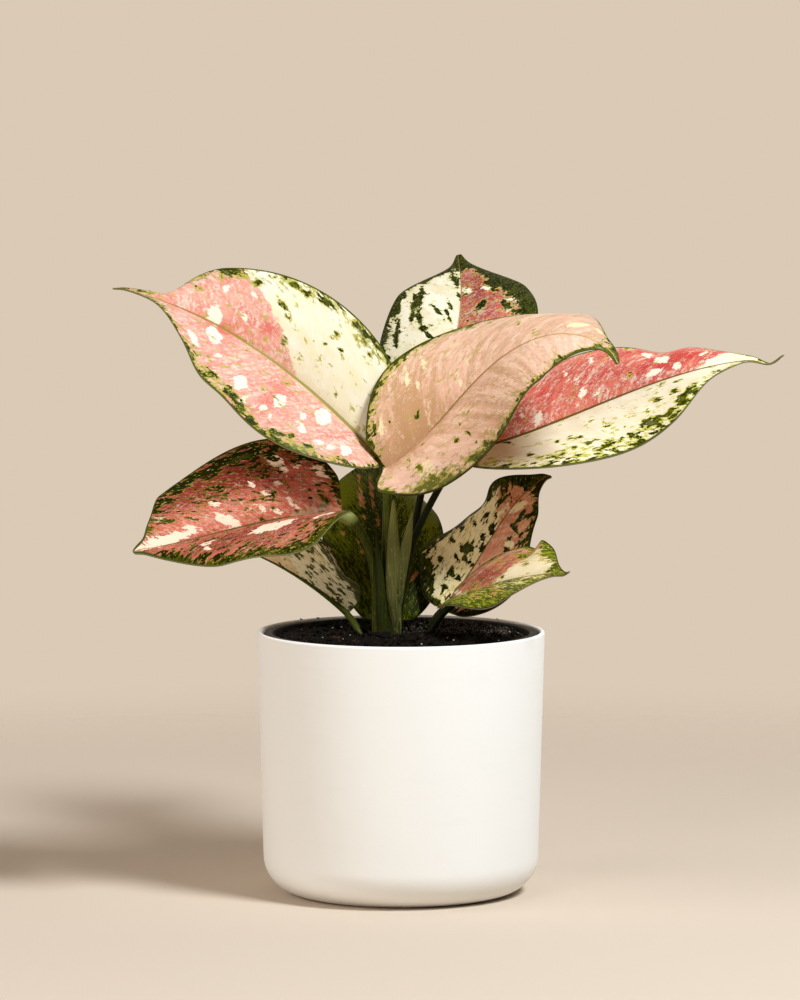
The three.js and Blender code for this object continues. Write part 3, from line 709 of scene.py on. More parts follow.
def grow_leaf(name, seed, **leaf):
    """One leaf: its blade with the marks on it, and its stalk that runs on below as the midrib.

    The pale, dark and depth spots are listed: mm along the midrib and to its left, mm long and
    wide, the turn in degrees and, for dark and depth spots, how much green, or how much deeper
    colour and painted shade, each adds. Most of the pale and dark ones were read off the
    photograph, and a separate fit of each to the leaf's form gave its numbers.
    """
    mesh = bmesh.new()
    layers = {key: mesh.verts.layers.float_vector.new(key) for key in ("veins", "blade", "marks")}
    mesh.verts.layers.float.new("share")
    deep_layer = mesh.verts.layers.float.new("deep")
    rows, columns = leaf["grid"]
    bmesh.ops.create_grid(mesh, x_segments=rows, y_segments=columns, size=0.5)
    sheet = list(mesh.verts)
    flat = np.array([v.co for v in sheet], float)
    even = flat[:, 0] + 0.5
    share = np.clip(0.55 * even + 0.45 * (0.5 - 0.5 * np.cos(np.pi * even)), 0.004, 0.999)
    t = np.sign(flat[:, 1]) * np.abs(2 * flat[:, 1]) ** COLUMN_POWER
    half = EDGE_WIDTH + leaf["half"] * outline(leaf, share)
    along, across, u = share * leaf["length"], t * half, np.abs(t)

    out, up, back = 0 * u, 0 * u, 0 * u
    for side, mine in (("right", t < 0), ("left", t >= 0)):
        form = half_form(leaf[side], share, u, half)
        out, up, back = (np.where(mine, new, old) for new, old in zip(form, (out, up, back)))
    away = np.abs(across)
    start = along - leaf["lean"] * away - GRAIN_CURVE * away**2 / leaf["half"]
    ribs = np.cos(2 * np.pi * start / (VEIN_SPACING * leaf["length"]))
    ribs = ribs * ease(np.abs(across), 1.5, 7) * ease(half - np.abs(across), 1, 9)
    groove = np.exp(-((across / (0.9 + 1.1 * (1 - share))) ** 2)) * (1 - share) ** 0.5
    up = up - leaf["quilt"] * ribs - 0.3 * groove * ease(share, 0, 0.1) + BLADE_THICKNESS / 2
    forward, side, normal = blade_frame(leaf, share)
    moved = side * (np.sign(t) * out)[:, None] + normal * up[:, None] - forward * back[:, None]
    points = midrib_at(leaf, share) + moved
    marks, deep = marks_on(leaf, along, across, t, half, share)
    values = {
        "veins": np.stack([start * 0.6 + np.where(t < 0, 300, 0), np.abs(across) * 1.65, 0 * t], -1),
        "blade": np.stack([half - np.abs(across), np.abs(across), share], -1),
        "marks": marks,
    }
    for number, vert in enumerate(sheet):
        vert.co = Vector(points[number] * MM)
        for key, layer in layers.items():
            vert[layer] = values[key][number]
        vert[deep_layer] = deep[number]
    top = list(mesh.faces)
    bmesh.ops.solidify(mesh, geom=top, thickness=BLADE_THICKNESS * MM)
    top = set(top)
    for face in mesh.faces:
        face.material_index = 0 if face in top else 1

    spots = np.array([0, 0.04, 0.12, 0.25, 0.4, 0.55, 0.7, RIB_END])
    start_radius = (1 - STALK_TAPER) * leaf["stalk_radius"]

    def rib_radius(place):
        return start_radius + (RIB_END_RADIUS - start_radius) * np.minimum(1, place / RIB_END) ** 0.6

    under_rib = midrib_at(leaf, spots)
    under_rib -= blade_frame(leaf, spots)[2] * 0.95 * rib_radius(spots)[:, None]
    line, total = curve_through([*leaf["stalk"], *under_rib], STALK_STEPS)
    blade_base = 1 - RIB_END * leaf["length"] / total

    def radius_at(place):
        swelling = leaf.get("knuckle", 0) * hump(place, blade_base - 0.02, 0.028)
        if place < blade_base:
            return leaf["stalk_radius"] * (1 - STALK_TAPER * place / blade_base) + swelling
        return rib_radius((place - blade_base) / (1 - blade_base) * RIB_END) + swelling

    before = set(mesh.faces)
    add_tube(mesh, line, radius_at, STALK_SIDES)
    for face in mesh.faces:
        if face not in before:
            face.material_index = 2
    skins = [leaf_skin(name + "_skin", leaf["tones"], seed)]
    skins += [leaf_skin(name + "_underside", leaf["tones"], seed, True), leaf["stalk_skin"]]
    grown = object_from(name + "_grown", mesh, skins)
    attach(grown, "root")
    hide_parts(name)


olive_stalk = stem_finish("stalk_olive", shade(40, 46, 4), shade(72, 82, 12), shade(112, 118, 40), 0.66)
dark_stalk = stem_finish("stalk_dark", shade(18, 22, 2), shade(26, 32, 2), shade(48, 56, 10), 0.68)

JOINT = (0.49, 0.024, shade(150, 156, 84))
jointed_shades = (shade(40, 46, 4), shade(84, 94, 16), shade(122, 128, 48))
jointed_stalk = stem_finish("stalk_jointed", *jointed_shades, 0.64, JOINT)

# Left leaf: the largest in view. The near half is pink with cream blotches, and the far half is
# cream near the stalk and pink towards the tip.
pink_tones = {
    "cream": shade(237, 229, 208), "cream_shade": shade(230, 219, 178),
    "pale": shade(238, 229, 208), "pink": shade(226, 166, 144), "pink_deep": shade(214, 116, 102),
    "lime": shade(176, 168, 66), "green": shade(98, 102, 24), "green_dark": shade(44, 50, 6),
    "mist": shade(130, 134, 84), "mist_level": 0.7, "dot": shade(196, 188, 92), "dots": 0.6,
    "rib": shade(158, 150, 62), "rib_tip": shade(190, 96, 74), "edge": shade(70, 78, 18),
    "under": shade(218, 200, 160), "veil": 0.25, "sand": 0.5, "streaks": 0.4, "fleck_level": 0.7,
    "halo": 0.9, "spread": 0.2, "rings": 0.8, "cell": (1.6, 2.1), "speckle": 0.5, "banding": 0.7,
    "rib_width": 1.4, "rib_strength": 0.95, "gloss": 0.05,
}
grow_leaf(
    "leaf_left",
    seed=20,
    base=(-8, -7, 210), length=161, half=42, taper=0.85, drip=0.72, heading=(168, 174, 166),
    rise=(47, 34, 10), roll=(-35, -55, -4), sway=0.5,
    left={
        "fold": (33, 38), "bend": (41, 20), "wave": (2.4, 1.5, 0.2), "lobe": 1,
        "folds": [(0.62, 0.08, 0, 5)], "pink": (-90, 300), "band": (3.4, 5, 3.4), "edge": 0.56,
        "specks": -0.02,
    },
    right={
        "fold": (44, 24), "bend": (34, 29), "wave": (0.6, 1.5, 0.5), "lobe": 1,
        "folds": [(0.84, 0.04, -3.5, -3.5)], "pink": (60, 300), "band": (5, 6, 6), "edge": 0.5,
        "specks": -0.06,
    },
    grid=(150, 64), stalk=[(-9, -1, 98), (-8.8, -1, 130), (-7.6, -1.5, 165), (-7, -3.5, 195)],
    stalk_radius=2.3, stalk_skin=olive_stalk, lean=0.4, quilt=0.1, slot="leaf_pink",
    tones=pink_tones,
    deep=[
        (104, 2, 20, 12, 50, 0.5), (84, -12, 8, 6, 20, 0.6), (60, -14, 40, 14, 0, -0.1),
        (20, -6, 40, 14, 0, -0.25), (62, 20, 12, 30, 0, 0.25),
    ],
    pale=[
        (111, -19, 5, 4, 66), (109, -4, 13, 8, 58), (104, 11, 16, 9, -67), (79, 28, 10, 8, 90),
        (73, 35, 6, 4, 78), (62, 31, 5, 4, 78), (58, 21, 10, 7, -86), (37, 10, 14, 10, -84),
        (44, 19, 6, 4, -84), (57, 32, 4, 3, -73), (40, 26, 6, 5, -82), (17, 17, 8, 6, -84),
        (29, 25, 5, 4, 51), (96, 22, 7, 3, 38), (97, -10, 9, 2.6, 37), (98, -23, 4, 2.4, 8),
        (111, 24, 11, 5, -35), (24, 23, 4, 3, -75),
    ],
    dark=[
        *alike(
            0.7,
            (122, -14, 8.5, 4.6, -6), (113, -29, 7.9, 3.7, -24), (100, -29, 6.6, 3.6, -24),
            (89, -15, 5, 2.3, 24), (75, -11, 5.1, 2.8, 41), (65, -10, 5.8, 1.8, 40),
            (85, -25, 6.2, 2.8, 34), (80, -23, 8.8, 2.4, 44), (85, -37, 6.6, 2.8, 8),
            (79, -37, 5.7, 3.2, -9), (71, -38, 5.7, 3.4, -11), (58, -30, 5.5, 3.4, -29),
            (58, -26, 4.2, 2.8, 12), (52, -24, 4.8, 3, 19), (54, -39, 4.6, 3, -10),
            (48, -39, 7.3, 3.2, 4), (41, -33, 4.7, 2.8, 16), (59, -22, 3.2, 1.8, 29),
            (99, 27, 7.3, 2.4, -18), (93, 33, 11.2, 3, -18), (82, 36, 5, 3.1, -47),
            (77, 37, 7.3, 3.1, -30), (71, 39, 6.5, 3, -3), (63, 40, 5.6, 4.3, -13),
            (51, 37, 4.7, 2.8, 45), (46, 36, 7.4, 2.9, 36), (32, 31, 7.7, 2.5, 35),
        ),
        (4, 4, 14, 6, 0, 0.8), (12, -3, 9.7, 3.8, 16, 0.7), (40, -7, 4.5, 1.8, 40, 0.7),
        (42, 32, 6, 4, -69, 0.5), (8, -5, 18, 8, 0, 0.9),
    ],
)

# Front leaf: muted pink above, cupped at its far side, where painted shade darkens the cup near the stalk
# to a dull olive-beige, with a green mottled near margin and a drip tip that hooks down and to the right.
grow_leaf(
    "leaf_front",
    seed=34,
    base=(-6.7, -12.5, 207), length=148, half=40.5, taper=0.6, drip=0.75, heading=(-7, -21, -33),
    rise=(33, 40, -51), roll=(41, 24, 20), sway=0.8,
    left={
        "fold": (66, 8), "bend": (21, 38), "wave": (8, 1, 0.1), "lobe": 7,
        "folds": [(0.71, 0.1, -2.8, 0)], "pink": (-90, 300), "band": (5, 2.6, 1.6), "edge": 0.66,
        "specks": -0.06,
    },
    right={
        "fold": (16, 0), "bend": (58, 55), "wave": (4.8, 0.8, 0.5), "lobe": 18,
        "folds": [(0.03, 0.06, 10, 0)], "swell": [(0.12, 0.16, 5)], "pink": (-90, 300),
        "band": (4.5, 3.8, 2), "edge": 0.56, "specks": -0.05,
    },
    grid=(150, 64), stalk=[(-6, -6, 98), (-6, -6, 130), (-5.5, -7, 165), (-6.5, -10, 194)],
    stalk_radius=2.3, stalk_skin=olive_stalk, lean=0.6, quilt=0.16, slot="leaf_pink",
    tones={
        **pink_tones, "cream": shade(238, 210, 182), "pale": shade(240, 214, 172),
        # pink_deep is the dull olive-beige of the far-side cup in shade. It is painted shade where the
        # depth spots deepen it, and a dull tone in the pink elsewhere.
        "pink": shade(228, 180, 156), "pink_deep": shade(190, 146, 106),
        "lime": shade(176, 160, 66), "green_dark": shade(50, 54, 6), "rib": shade(140, 112, 54),
        "rib_tip": shade(196, 164, 94), "rib_width": 0.7, "veil": 0.05, "sand": 0.4,
        "cell": (1.2, 1.7), "banding": 0.9, "streaks": 0.5, "fleck_level": 0.76,
    },
    # The first two depth spots paint shade into the cup at the far side near the stalk. The other two
    # lighten the colour.
    deep=[
        (30, 10, 40, 26, 60, 0.5), (10, 4, 24, 20, 0, 0.4), (20, -26, 40, 24, 40, -0.5),
        (118, -6, 50, 24, 0, -0.15),
    ],
    pale=[
        (119, 8, 10.4, 5.5, 24), (99, -1, 6.9, 3.8, 53), (130, 9, 6.8, 4.2, -30),
        (56, 7, 7.3, 2.6, 72), (64, 12, 6.8, 1.7, 79), (40, 27, 10.7, 1.7, 56),
        (49, 28, 6.4, 2.2, 73), (62, 29, 3.7, 3, 34), (41, 20, 6.6, 1.8, 61), (14, 16, 9, 3, 45),
        (22, -22, 12, 6, 56),
    ],
    dark=[
        *alike(
            0.68,
            (19, 16, 2.7, 1.7, 56), (24, 18, 2.5, 1.2, 54), (31, 10, 9, 1.5, 42),
            (29, 10, 2.6, 1.4, 63), (46, -19, 4, 1.8, 66), (40, -24, 3.3, 2.4, 30),
            (47, -27, 5.8, 1.8, 81), (47, -32, 2.9, 1.2, 63), (17, -13, 4.9, 1.2, 65),
            (20, -19, 4.7, 1.6, 64), (23, -25, 5.3, 1.2, 69), (6, 9, 4.8, 1.4, 28),
            (11, 17, 5.1, 1.6, 53), (6, 13, 4.7, 1.7, 50), (90, 18, 8.3, 2.5, -77),
            (87, 6, 1.9, 1.2, -70), (77, 36, 7.9, 2.7, -82), (70, 37, 5.2, 3.4, -68),
            (45, 37, 3.3, 1.5, 88), (49, 39, 1.7, 1.2, 11), (41, 36, 2.7, 1.8, 88),
            (125, -20, 9, 3.9, -30), (130, -12, 9.2, 2.9, -56), (135, -3, 11.3, 2.8, -75),
            (124, 22, 10.2, 3, -67), (74, -41, 12.7, 1.2, -0), (63, -40, 6.6, 1.6, 9),
            (53, -39, 6.8, 2.4, 21), (42, -35, 10.4, 2.7, 28), (28, -29, 6, 1.5, 37),
            (21, -26, 6.6, 1.3, 44), (16, -16, 4.6, 1.8, 55),
        ),
        (123, -21, 8, 6, 23, 0.75), (128, -14, 14, 3, -50, 0.7), (143, 0, 12, 8, 0, 0.7),
    ],
)

# Right leaf: the far half is strong red-pink with white blotches, and the near half is cream with
# green dashes that thicken to its margin. The far margin has one sharp fold.
red_tones = {
    **pink_tones, "pink": shade(226, 122, 100), "pink_deep": shade(200, 66, 60),
    "cream": shade(250, 238, 212), "cream_shade": shade(242, 224, 186),
    "pale": shade(250, 238, 212), "lime": shade(196, 194, 72), "green": shade(98, 100, 16),
    "green_dark": shade(46, 52, 4), "mist": shade(112, 118, 62), "rib": shade(104, 86, 26),
    "rib_tip": shade(112, 88, 30), "rib_width": 0.9, "sand": 0.5, "streaks": 0.4,
    "fleck_level": 0.67, "spread": 0.22, "rings": 0.2, "speckle": 0.7, "cell": (2.0, 1.7),
}
grow_leaf(
    "leaf_right",
    seed=47,
    base=(29, 4, 214), length=168, half=38.5, taper=0.85, drip=0.66, heading=(10, -10, -27),
    rise=(12, 22, -1), roll=(21, 37, 10), sway=-2.4,
    left={
        "fold": (24, 10), "bend": (40, 37), "wave": (1.6, 2.6, 0), "lobe": 7,
        "folds": [(0.61, 0.055, -4.5, 0), (0.36, 0.11, 1.5, 3)], "pink": (-90, 122),
        "band": (3, 2, 2), "edge": 0.5, "specks": -0.2,
    },
    right={
        "fold": (24, 11), "bend": (41, 36), "wave": (3.4, 1.5, -0.1), "lobe": 7,
        "folds": [(0.78, 0.05, 0, -4), (0.12, 0.12, 1.4, 0)], "pink": (300, 400), "band": (5, 9, 7),
        "edge": 0.52, "specks": -0.08,
    },
    grid=(150, 64),
    stalk=[(-2, -2.5, 98), (-1.6, -2.5, 130), (3.8, -0.5, 163), (8.2, 0.5, 177), (22, 3.2, 203)],
    stalk_radius=2, stalk_skin=dark_stalk, lean=0.45, quilt=0.12, slot="leaf_red", tones=red_tones,
    deep=[(112, 14, 40, 16, 0, 0.45), (60, 20, 50, 24, 0, 0.1), (90, 30, 20, 8, 0, 0.3)],
    pale=[
        (42, 6, 11, 4, 61), (66, 10, 7, 4, 66), (65, 20, 5, 3, -86), (74, 30, 6, 3, -84),
        (61, 26, 10, 2, -88), (105, 17, 11, 7, -53), (101, 7, 9, 5, 15), (113, 7, 6, 4, -72),
        (125, 14, 6, 3.4, 63), (35, 12, 4, 2.4, 83), (73, 7, 3, 2, 61), (83, 26, 3, 1.6, 88),
        (98, 26, 10, 4, -73), (134, 3, 16, 5, -20),
    ],
    dark=[
        *alike(
            0.85,
            (89, -16, 3.6, 1.8, 24), (97, -20, 4.6, 2, 18), (102, -17, 5.5, 3.2, -0),
            (106, -5, 4.8, 3.1, 54), (114, -7, 7.4, 4.2, 4), (73, -16, 2.4, 2.2, 35),
            (66, -13, 3.9, 3, 75), (47, -20, 2.8, 2.8, 24), (54, -19, 3.1, 2.4, -26),
            (59, -22, 3.8, 2.5, 51), (62, -28, 3.8, 2.5, 16), (73, -21, 3.2, 1.8, 45),
            (83, -25, 1.7, 1.8, 29), (74, -31, 3.6, 2.3, -11), (78, -32, 6.4, 2.3, -14),
            (84, -32, 4, 3.2, 27), (69, -33, 9.8, 2.6, 3), (95, -26, 7, 1.8, 11),
            (96, -28, 7.1, 2.3, 12), (102, -27, 8.1, 2.5, -11), (109, -26, 7.6, 3.6, -23),
            (113, -14, 5.5, 5.4, 67), (122, -17, 6.3, 6.6, 23), (117, -22, 6.4, 6.2, 44),
            (23, -4, 11.1, 3, 57), (54, -28, 4.3, 2.9, 22), (48, -31, 6.5, 2.8, -4),
            (32, -23, 4.3, 1.8, 29),
        ),
        (90, 11, 6, 3, 78, 0.55), (125, 16, 5, 1.4, -77, 0.55), (95, 13, 4, 2.4, -85, 0.5),
        (71, 8, 4, 2, 19, 0.5), (90, 35, 9, 4, -51, 0.6), (134, 8, 4, 1.6, -47, 0.5),
        (160, 0, 18, 8, 0, 0.9), (116, -24, 10, 7, 52, 0.3), (60, -8, 60, 8, 0, -0.15),
        (125, -6, 50, 6, 0, -0.3),
    ],
)

# Lower left leaf: dusky red, darker on its far half where painted shade stands for the left leaf's shadow,
# with dark green marbling, cream streaks, and one long cream stripe that runs to the tip. It hangs from a
# pale bent knuckle at the top of its stalk.
grow_leaf(
    "leaf_lower_left",
    seed=59,
    base=(-28.5, -8, 186), length=113, half=40, taper=0.75, drip=0.72, heading=(199, 208, 216),
    rise=(2, -10, -3), roll=(-34, -33, -16), sway=0.4,
    left={
        "fold": (53, 14), "bend": (26, 39), "wave": (4.1, 1.7, 0.2), "lobe": 4,
        "folds": [(0.28, 0.08, 0, 1.8)], "pink": (-90, 300), "band": (5, 7.5, 6), "edge": 0.75,
        "specks": 0.2,
    },
    right={
        "fold": (61, 19), "bend": (18, 35), "wave": (5.7, 1.3, 0), "lobe": 4,
        "folds": [(0.3, 0.15, 0, -1.8), (0.87, 0.06, 0, 3)], "pink": (-90, 300),
        "band": (8, 8, 3.5), "edge": 0.4, "specks": 0.16,
    },
    grid=(120, 64),
    stalk=[(-11.6, -6, 98), (-11.8, -6, 125), (-12.8, -6, 155), (-17, -6.6, 172), (-24, -7.5, 182.5)],
    stalk_radius=2.4, stalk_skin=jointed_stalk, knuckle=1.5, lean=0.9, quilt=0.14, slot="leaf_red",
    tones={
        **red_tones, "pink": shade(194, 94, 74), "pink_deep": shade(112, 42, 28),
        "cream": shade(226, 176, 146), "pale": shade(242, 214, 186), "lime": shade(140, 132, 36),
        "green": shade(84, 82, 14), "green_dark": shade(28, 31, 2), "rib": shade(90, 74, 24),
        "rib_tip": shade(150, 90, 44), "rib_width": 0.5, "mist": shade(76, 80, 16),
        "edge": shade(62, 72, 14), "sand": 0.5, "streaks": 0.15, "fleck_level": 0.67, "halo": 0.5,
        "banding": 0.3, "spread": 0.1, "gloss": 0.03, "cell": (1.8, 2.0), "dots": 0.85,
        "dot": shade(176, 168, 74),
    },
    # The first depth spot is painted shade over the far half, which the left leaf shades. The second
    # deepens the near half's own red, and the third lightens along the midrib.
    deep=[(50, -28, 100, 22, 0, 0.4), (60, 14, 80, 20, 0, 0.2), (60, -8, 90, 14, 0, -0.3)],
    pale=[
        (91, -3, 34, 6, -3), (104, -0.5, 20, 3, 0), (78, -5, 8, 4, 40), (59, -5, 16, 6, 37),
        (62, -15, 7, 2.6, 37), (42, -19, 6, 2, 58), (37, -13, 6, 2, 33), (40, -6, 9, 2, 42),
        (33, -4, 6, 2.8, 36), (30, -27, 9, 5, 34), (27, -23, 7, 3.4, 69), (11, -19, 9, 4, 35),
        (38, -35, 5, 2.4, 39), (43, -33, 4, 2, 45), (57, -35, 7, 3, -12), (21, -23, 4, 2, 8),
        (30, -16, 4, 2, 29), (26, -8, 6, 1.4, 65), (23, -5, 5, 1.4, 43), (88, -15, 7, 3, 32),
        (78, 11, 8, 4, 12), (42, 13, 28, 11, 8), (17, 18, 12, 4, 10), (81, 16, 5, 3, -84),
    ],
    dark=[
        (74, -31, 24, 7, -24, 0.45),
        *alike(
            0.35,
            (56, -32, 13, 8, -21), (43, -34, 14, 7, 10), (32, -32, 10, 5, 34), (39, -27, 17, 5, 16),
            (56, -23, 14, 6, 33),
        ),
        (42, -2, 6, 3, 24, 0.5), (13, -12, 12, 4, 57, 0.35), (4, -11, 14, 3, 74, 0.5),
        (30, -3, 10, 2, 31, 0.5), (56, -17, 8, 3, 75, 0.3), (80, -6, 20, 10, 0, -0.3),
        (50, 12, 60, 14, 0, -0.12), (102, 0, 24, 10, 0, -0.7), (88, -4, 40, 8, 0, -0.35),
        (59, -5, 16, 6, 37, -0.3), (42, 13, 28, 11, 8, -0.3),
    ],
)

# Back leaf: it stands up behind the rest. One half is cream-white with green slashes along its
# veins, the other dark green with red-pink patches.
cream_tones = {
    **pink_tones, "cream": shade(232, 222, 200), "cream_shade": shade(220, 206, 168),
    "pale": shade(236, 226, 202), "pink": shade(190, 88, 72), "pink_deep": shade(138, 42, 36),
    "lime": shade(160, 156, 56), "green": shade(66, 68, 12), "green_dark": shade(28, 32, 3),
    "mist": shade(74, 78, 34), "dot": shade(132, 130, 40), "dots": 0.7, "rib": shade(176, 140, 84),
    "rib_tip": shade(130, 96, 44), "rib_width": 0.2, "edge": shade(44, 50, 8), "sand": 0.3,
    "streaks": 0.35, "fleck_level": 0.68, "halo": 0.4, "rings": 0.2, "cell": (1.2, 3.0),
}
grow_leaf(
    "leaf_back",
    seed=71,
    base=(20, 14, 239), length=164, half=40, taper=0.85, drip=0.66, heading=(76, 87, 93),
    rise=(43, 21, 15), roll=(1, -5, -12), sway=0.8,
    left={
        "fold": (19, 11), "bend": (46, 36), "wave": (3.5, 1.6, 0.1), "lobe": 6, "pink": (300, 400),
        "band": (4, 5, 9), "edge": 0.9, "specks": 0.03,
    },
    right={
        "fold": (19, 13), "bend": (45, 33), "wave": (1.6, 1.6, 0.6), "lobe": 6, "pink": (-90, 300),
        "band": (8, 10, 12), "edge": 0.8, "specks": 0.16,
    },
    grid=(140, 64),
    stalk=[(-3.4, 2.2, 98), (-3.2, 2.2, 130), (5.5, 5.5, 172), (11.5, 9, 202), (16.5, 12, 224)],
    stalk_radius=2, stalk_skin=dark_stalk, lean=0.3, quilt=0.15, slot="leaf_cream",
    tones={
        **cream_tones, "rib": shade(150, 110, 60), "rib_tip": shade(110, 84, 34), "rib_width": -0.1,
        "lime": shade(188, 186, 84), "green": shade(58, 64, 8), "green_dark": shade(26, 31, 2),
        "mist": shade(66, 74, 30), "halo": 0.5, "dots": 0.6, "speckle": 0.5, "banding": 0,
        "dot": shade(168, 166, 60), "spread": 0.22, "gloss": 0.02,
    },
    deep=[(100, -10, 60, 20, 0, 0.2)],
    pale=[
        (102, -3, 12.5, 4.1, -18), (100, -13, 8.4, 4.2, -24), (84, -29, 11.3, 3.7, -7),
        (82, -25, 8.4, 5.1, 39), (71, -25, 7.1, 2.8, 25), (99, 31, 8.7, 3.3, 1),
        (74, 28, 58.1, 6.6, 2), (85, 11, 40.3, 14.8, 14),
    ],
    dark=[
        *alike(
            1.12,
            (125, 17, 23, 4.5, -9), (104, 20, 19.2, 3.3, -2), (88, 21, 14.9, 4.3, -0),
            (71, 20, 19.1, 3.2, 7), (57, 17, 10.3, 5.1, 16), (49, 13, 8.1, 3.6, 26),
            (89, 24, 14, 3.8, -5), (74, 24, 18.1, 3, 0), (99, 23, 10.9, 2.6, 12),
            (93, 32, 20, 2.4, -0), (71, 31, 20.7, 2.5, 1), (50, 30, 20.8, 2.4, 6),
            (76, 11, 16.3, 3.5, 21), (74, 6, 9.5, 2.4, 10), (84, 5, 13.3, 2.4, 10),
            (66, 4, 10.5, 2.4, 12), (119, 3, 21.3, 5.2, 6), (135, 10, 9.4, 10.4, -14),
            (97, 1, 8.8, 2.4, 10), (80, -12, 12, 6.2, 16), (78, -23, 8.2, 3.8, -10),
            (105, -17, 16.6, 8.8, -7),
        ),
        (146, 0, 26, 9, -1, 1), (124, -16, 30, 11, -2, 0.8), (102, -28, 34, 14, -8, 0.8),
        (76, -36, 24, 10, 2, 0.7), (128, -4, 12, 6, 0, -0.5), (84, -12, 40, 18, 0, -0.2),
        (60, 30, 16, 20, 0, 0.3),
    ],
)

# Low back leaf: nearly all dark green, with thin pink stripes beside its midrib.
green_tones = {
    **cream_tones, "pink": shade(214, 142, 108), "pink_deep": shade(172, 88, 62),
    "cream": shade(226, 190, 120), "lime": shade(126, 128, 22), "green": shade(104, 112, 8),
    "green_dark": shade(38, 48, 1), "mist": shade(76, 86, 8), "dot": shade(158, 158, 44),
    "dots": 0.85, "rib": shade(50, 60, 8), "rib_tip": shade(70, 74, 14), "edge": shade(34, 44, 2),
    "under": shade(110, 118, 50), "halo": 0.6, "gloss": 0.05,
}
grow_leaf(
    "leaf_low_back",
    seed=83,
    base=(-6, 14, 131), length=119, half=29, taper=0.85, drip=0.72, heading=(85, 99, 91),
    rise=(66, 39, 21), roll=(0, 0, 0), sway=0.8,
    left={
        "fold": (20, 12), "bend": (45, 35), "wave": (3, 1.5, 0), "lobe": 4,
        "folds": [(0.43, 0.12, 0, 2)], "pink": (-90, 300), "band": (4, 4, 4), "edge": 0.5,
        "specks": 1.1,
    },
    right={
        "fold": (20, 12), "bend": (45, 37), "wave": (3.4, 1.7, 0.5), "lobe": 4, "pink": (-90, 300),
        "band": (4, 4, 4), "edge": 0.5, "specks": 1.1,
    },
    grid=(96, 44), stalk=[(-5, 12, 95), (-5.2, 12.3, 117)], stalk_radius=2, stalk_skin=dark_stalk,
    lean=1.8, quilt=0.12, slot="leaf_green", tones=green_tones,
    deep=[
        (84, 20, 30, 18, 0, -0.5), (70, -22, 50, 16, 0, -0.35), (30, -8, 50, 30, 0, 0.3),
        (60, 4, 40, 10, 0, 0.5),
    ],
    pale=[],
    dark=[
        (92, 8, 14, 2.4, -4, -1.1), (73, 9, 20, 4.4, 3, -1.1), (84, 3, 22, 3.6, -2, -1.1),
        (69, 4, 10, 2.4, -5, -1.0), (58, 3, 14, 3, -6, -1.1), (51, 20, 7, 2.4, 12, -0.9),
        (43, 14, 10, 2, 22, -1.1), (37, 13, 4, 2, 35, -0.9), (61, 10, 5, 2, 14, -1.0),
        (23, -12, 9, 3, 32, -1.1), (78, -5, 7, 1.4, -5, -0.9),
    ],
)

# Folded leaf: a young leaf seen from below, folded along its midrib, pale with green marbling.
grow_leaf(
    "leaf_folded",
    seed=91,
    base=(-25, 4, 136.5), length=64, half=27, taper=0.85, drip=0.72, heading=(182, 172, 159),
    rise=(40, 30, 15), roll=(8, -2, 1), sway=-0.6,
    left={
        "fold": (64, 50), "bend": (15, 20), "wave": (4.8, 1.7, 0.3), "lobe": 1,
        "folds": [(0.16, 0.13, -3.5, 0)], "pink": (30, 400), "band": (5, 2.5, 2), "edge": 0.7,
        "specks": 0.3,
    },
    right={
        "fold": (46, 42), "bend": (20, 20), "wave": (2, 1.5, 0.5), "lobe": 1,
        "folds": [(0.24, 0.2, 0, -6)], "pink": (30, 400), "band": (5, 2.5, 2), "edge": 0.7,
        "specks": 0.3,
    },
    grid=(80, 44), stalk=[(-17.2, -5.5, 95), (-17.8, -5, 117), (-21.6, -1, 129.5)], stalk_radius=2,
    stalk_skin=olive_stalk, lean=0.3, quilt=0.1, slot="leaf_cream",
    tones={
        **cream_tones, "cream": shade(255, 246, 212), "cream_shade": shade(252, 236, 188),
        "pink": shade(246, 216, 168), "pink_deep": shade(232, 190, 140),
        "lime": shade(196, 188, 100), "green": shade(84, 90, 24), "green_dark": shade(40, 48, 6),
        "under": shade(246, 226, 178), "veil": 0.06, "sand": 0.2, "gloss": 0.05, "cell": (1.5, 2.0),
        "speckle": 0.7,
    },
    deep=[],
    pale=[],
    dark=[(14, 0, 40, 60, 0, 0.1), (50, 0, 40, 60, 0, -0.25)],
)

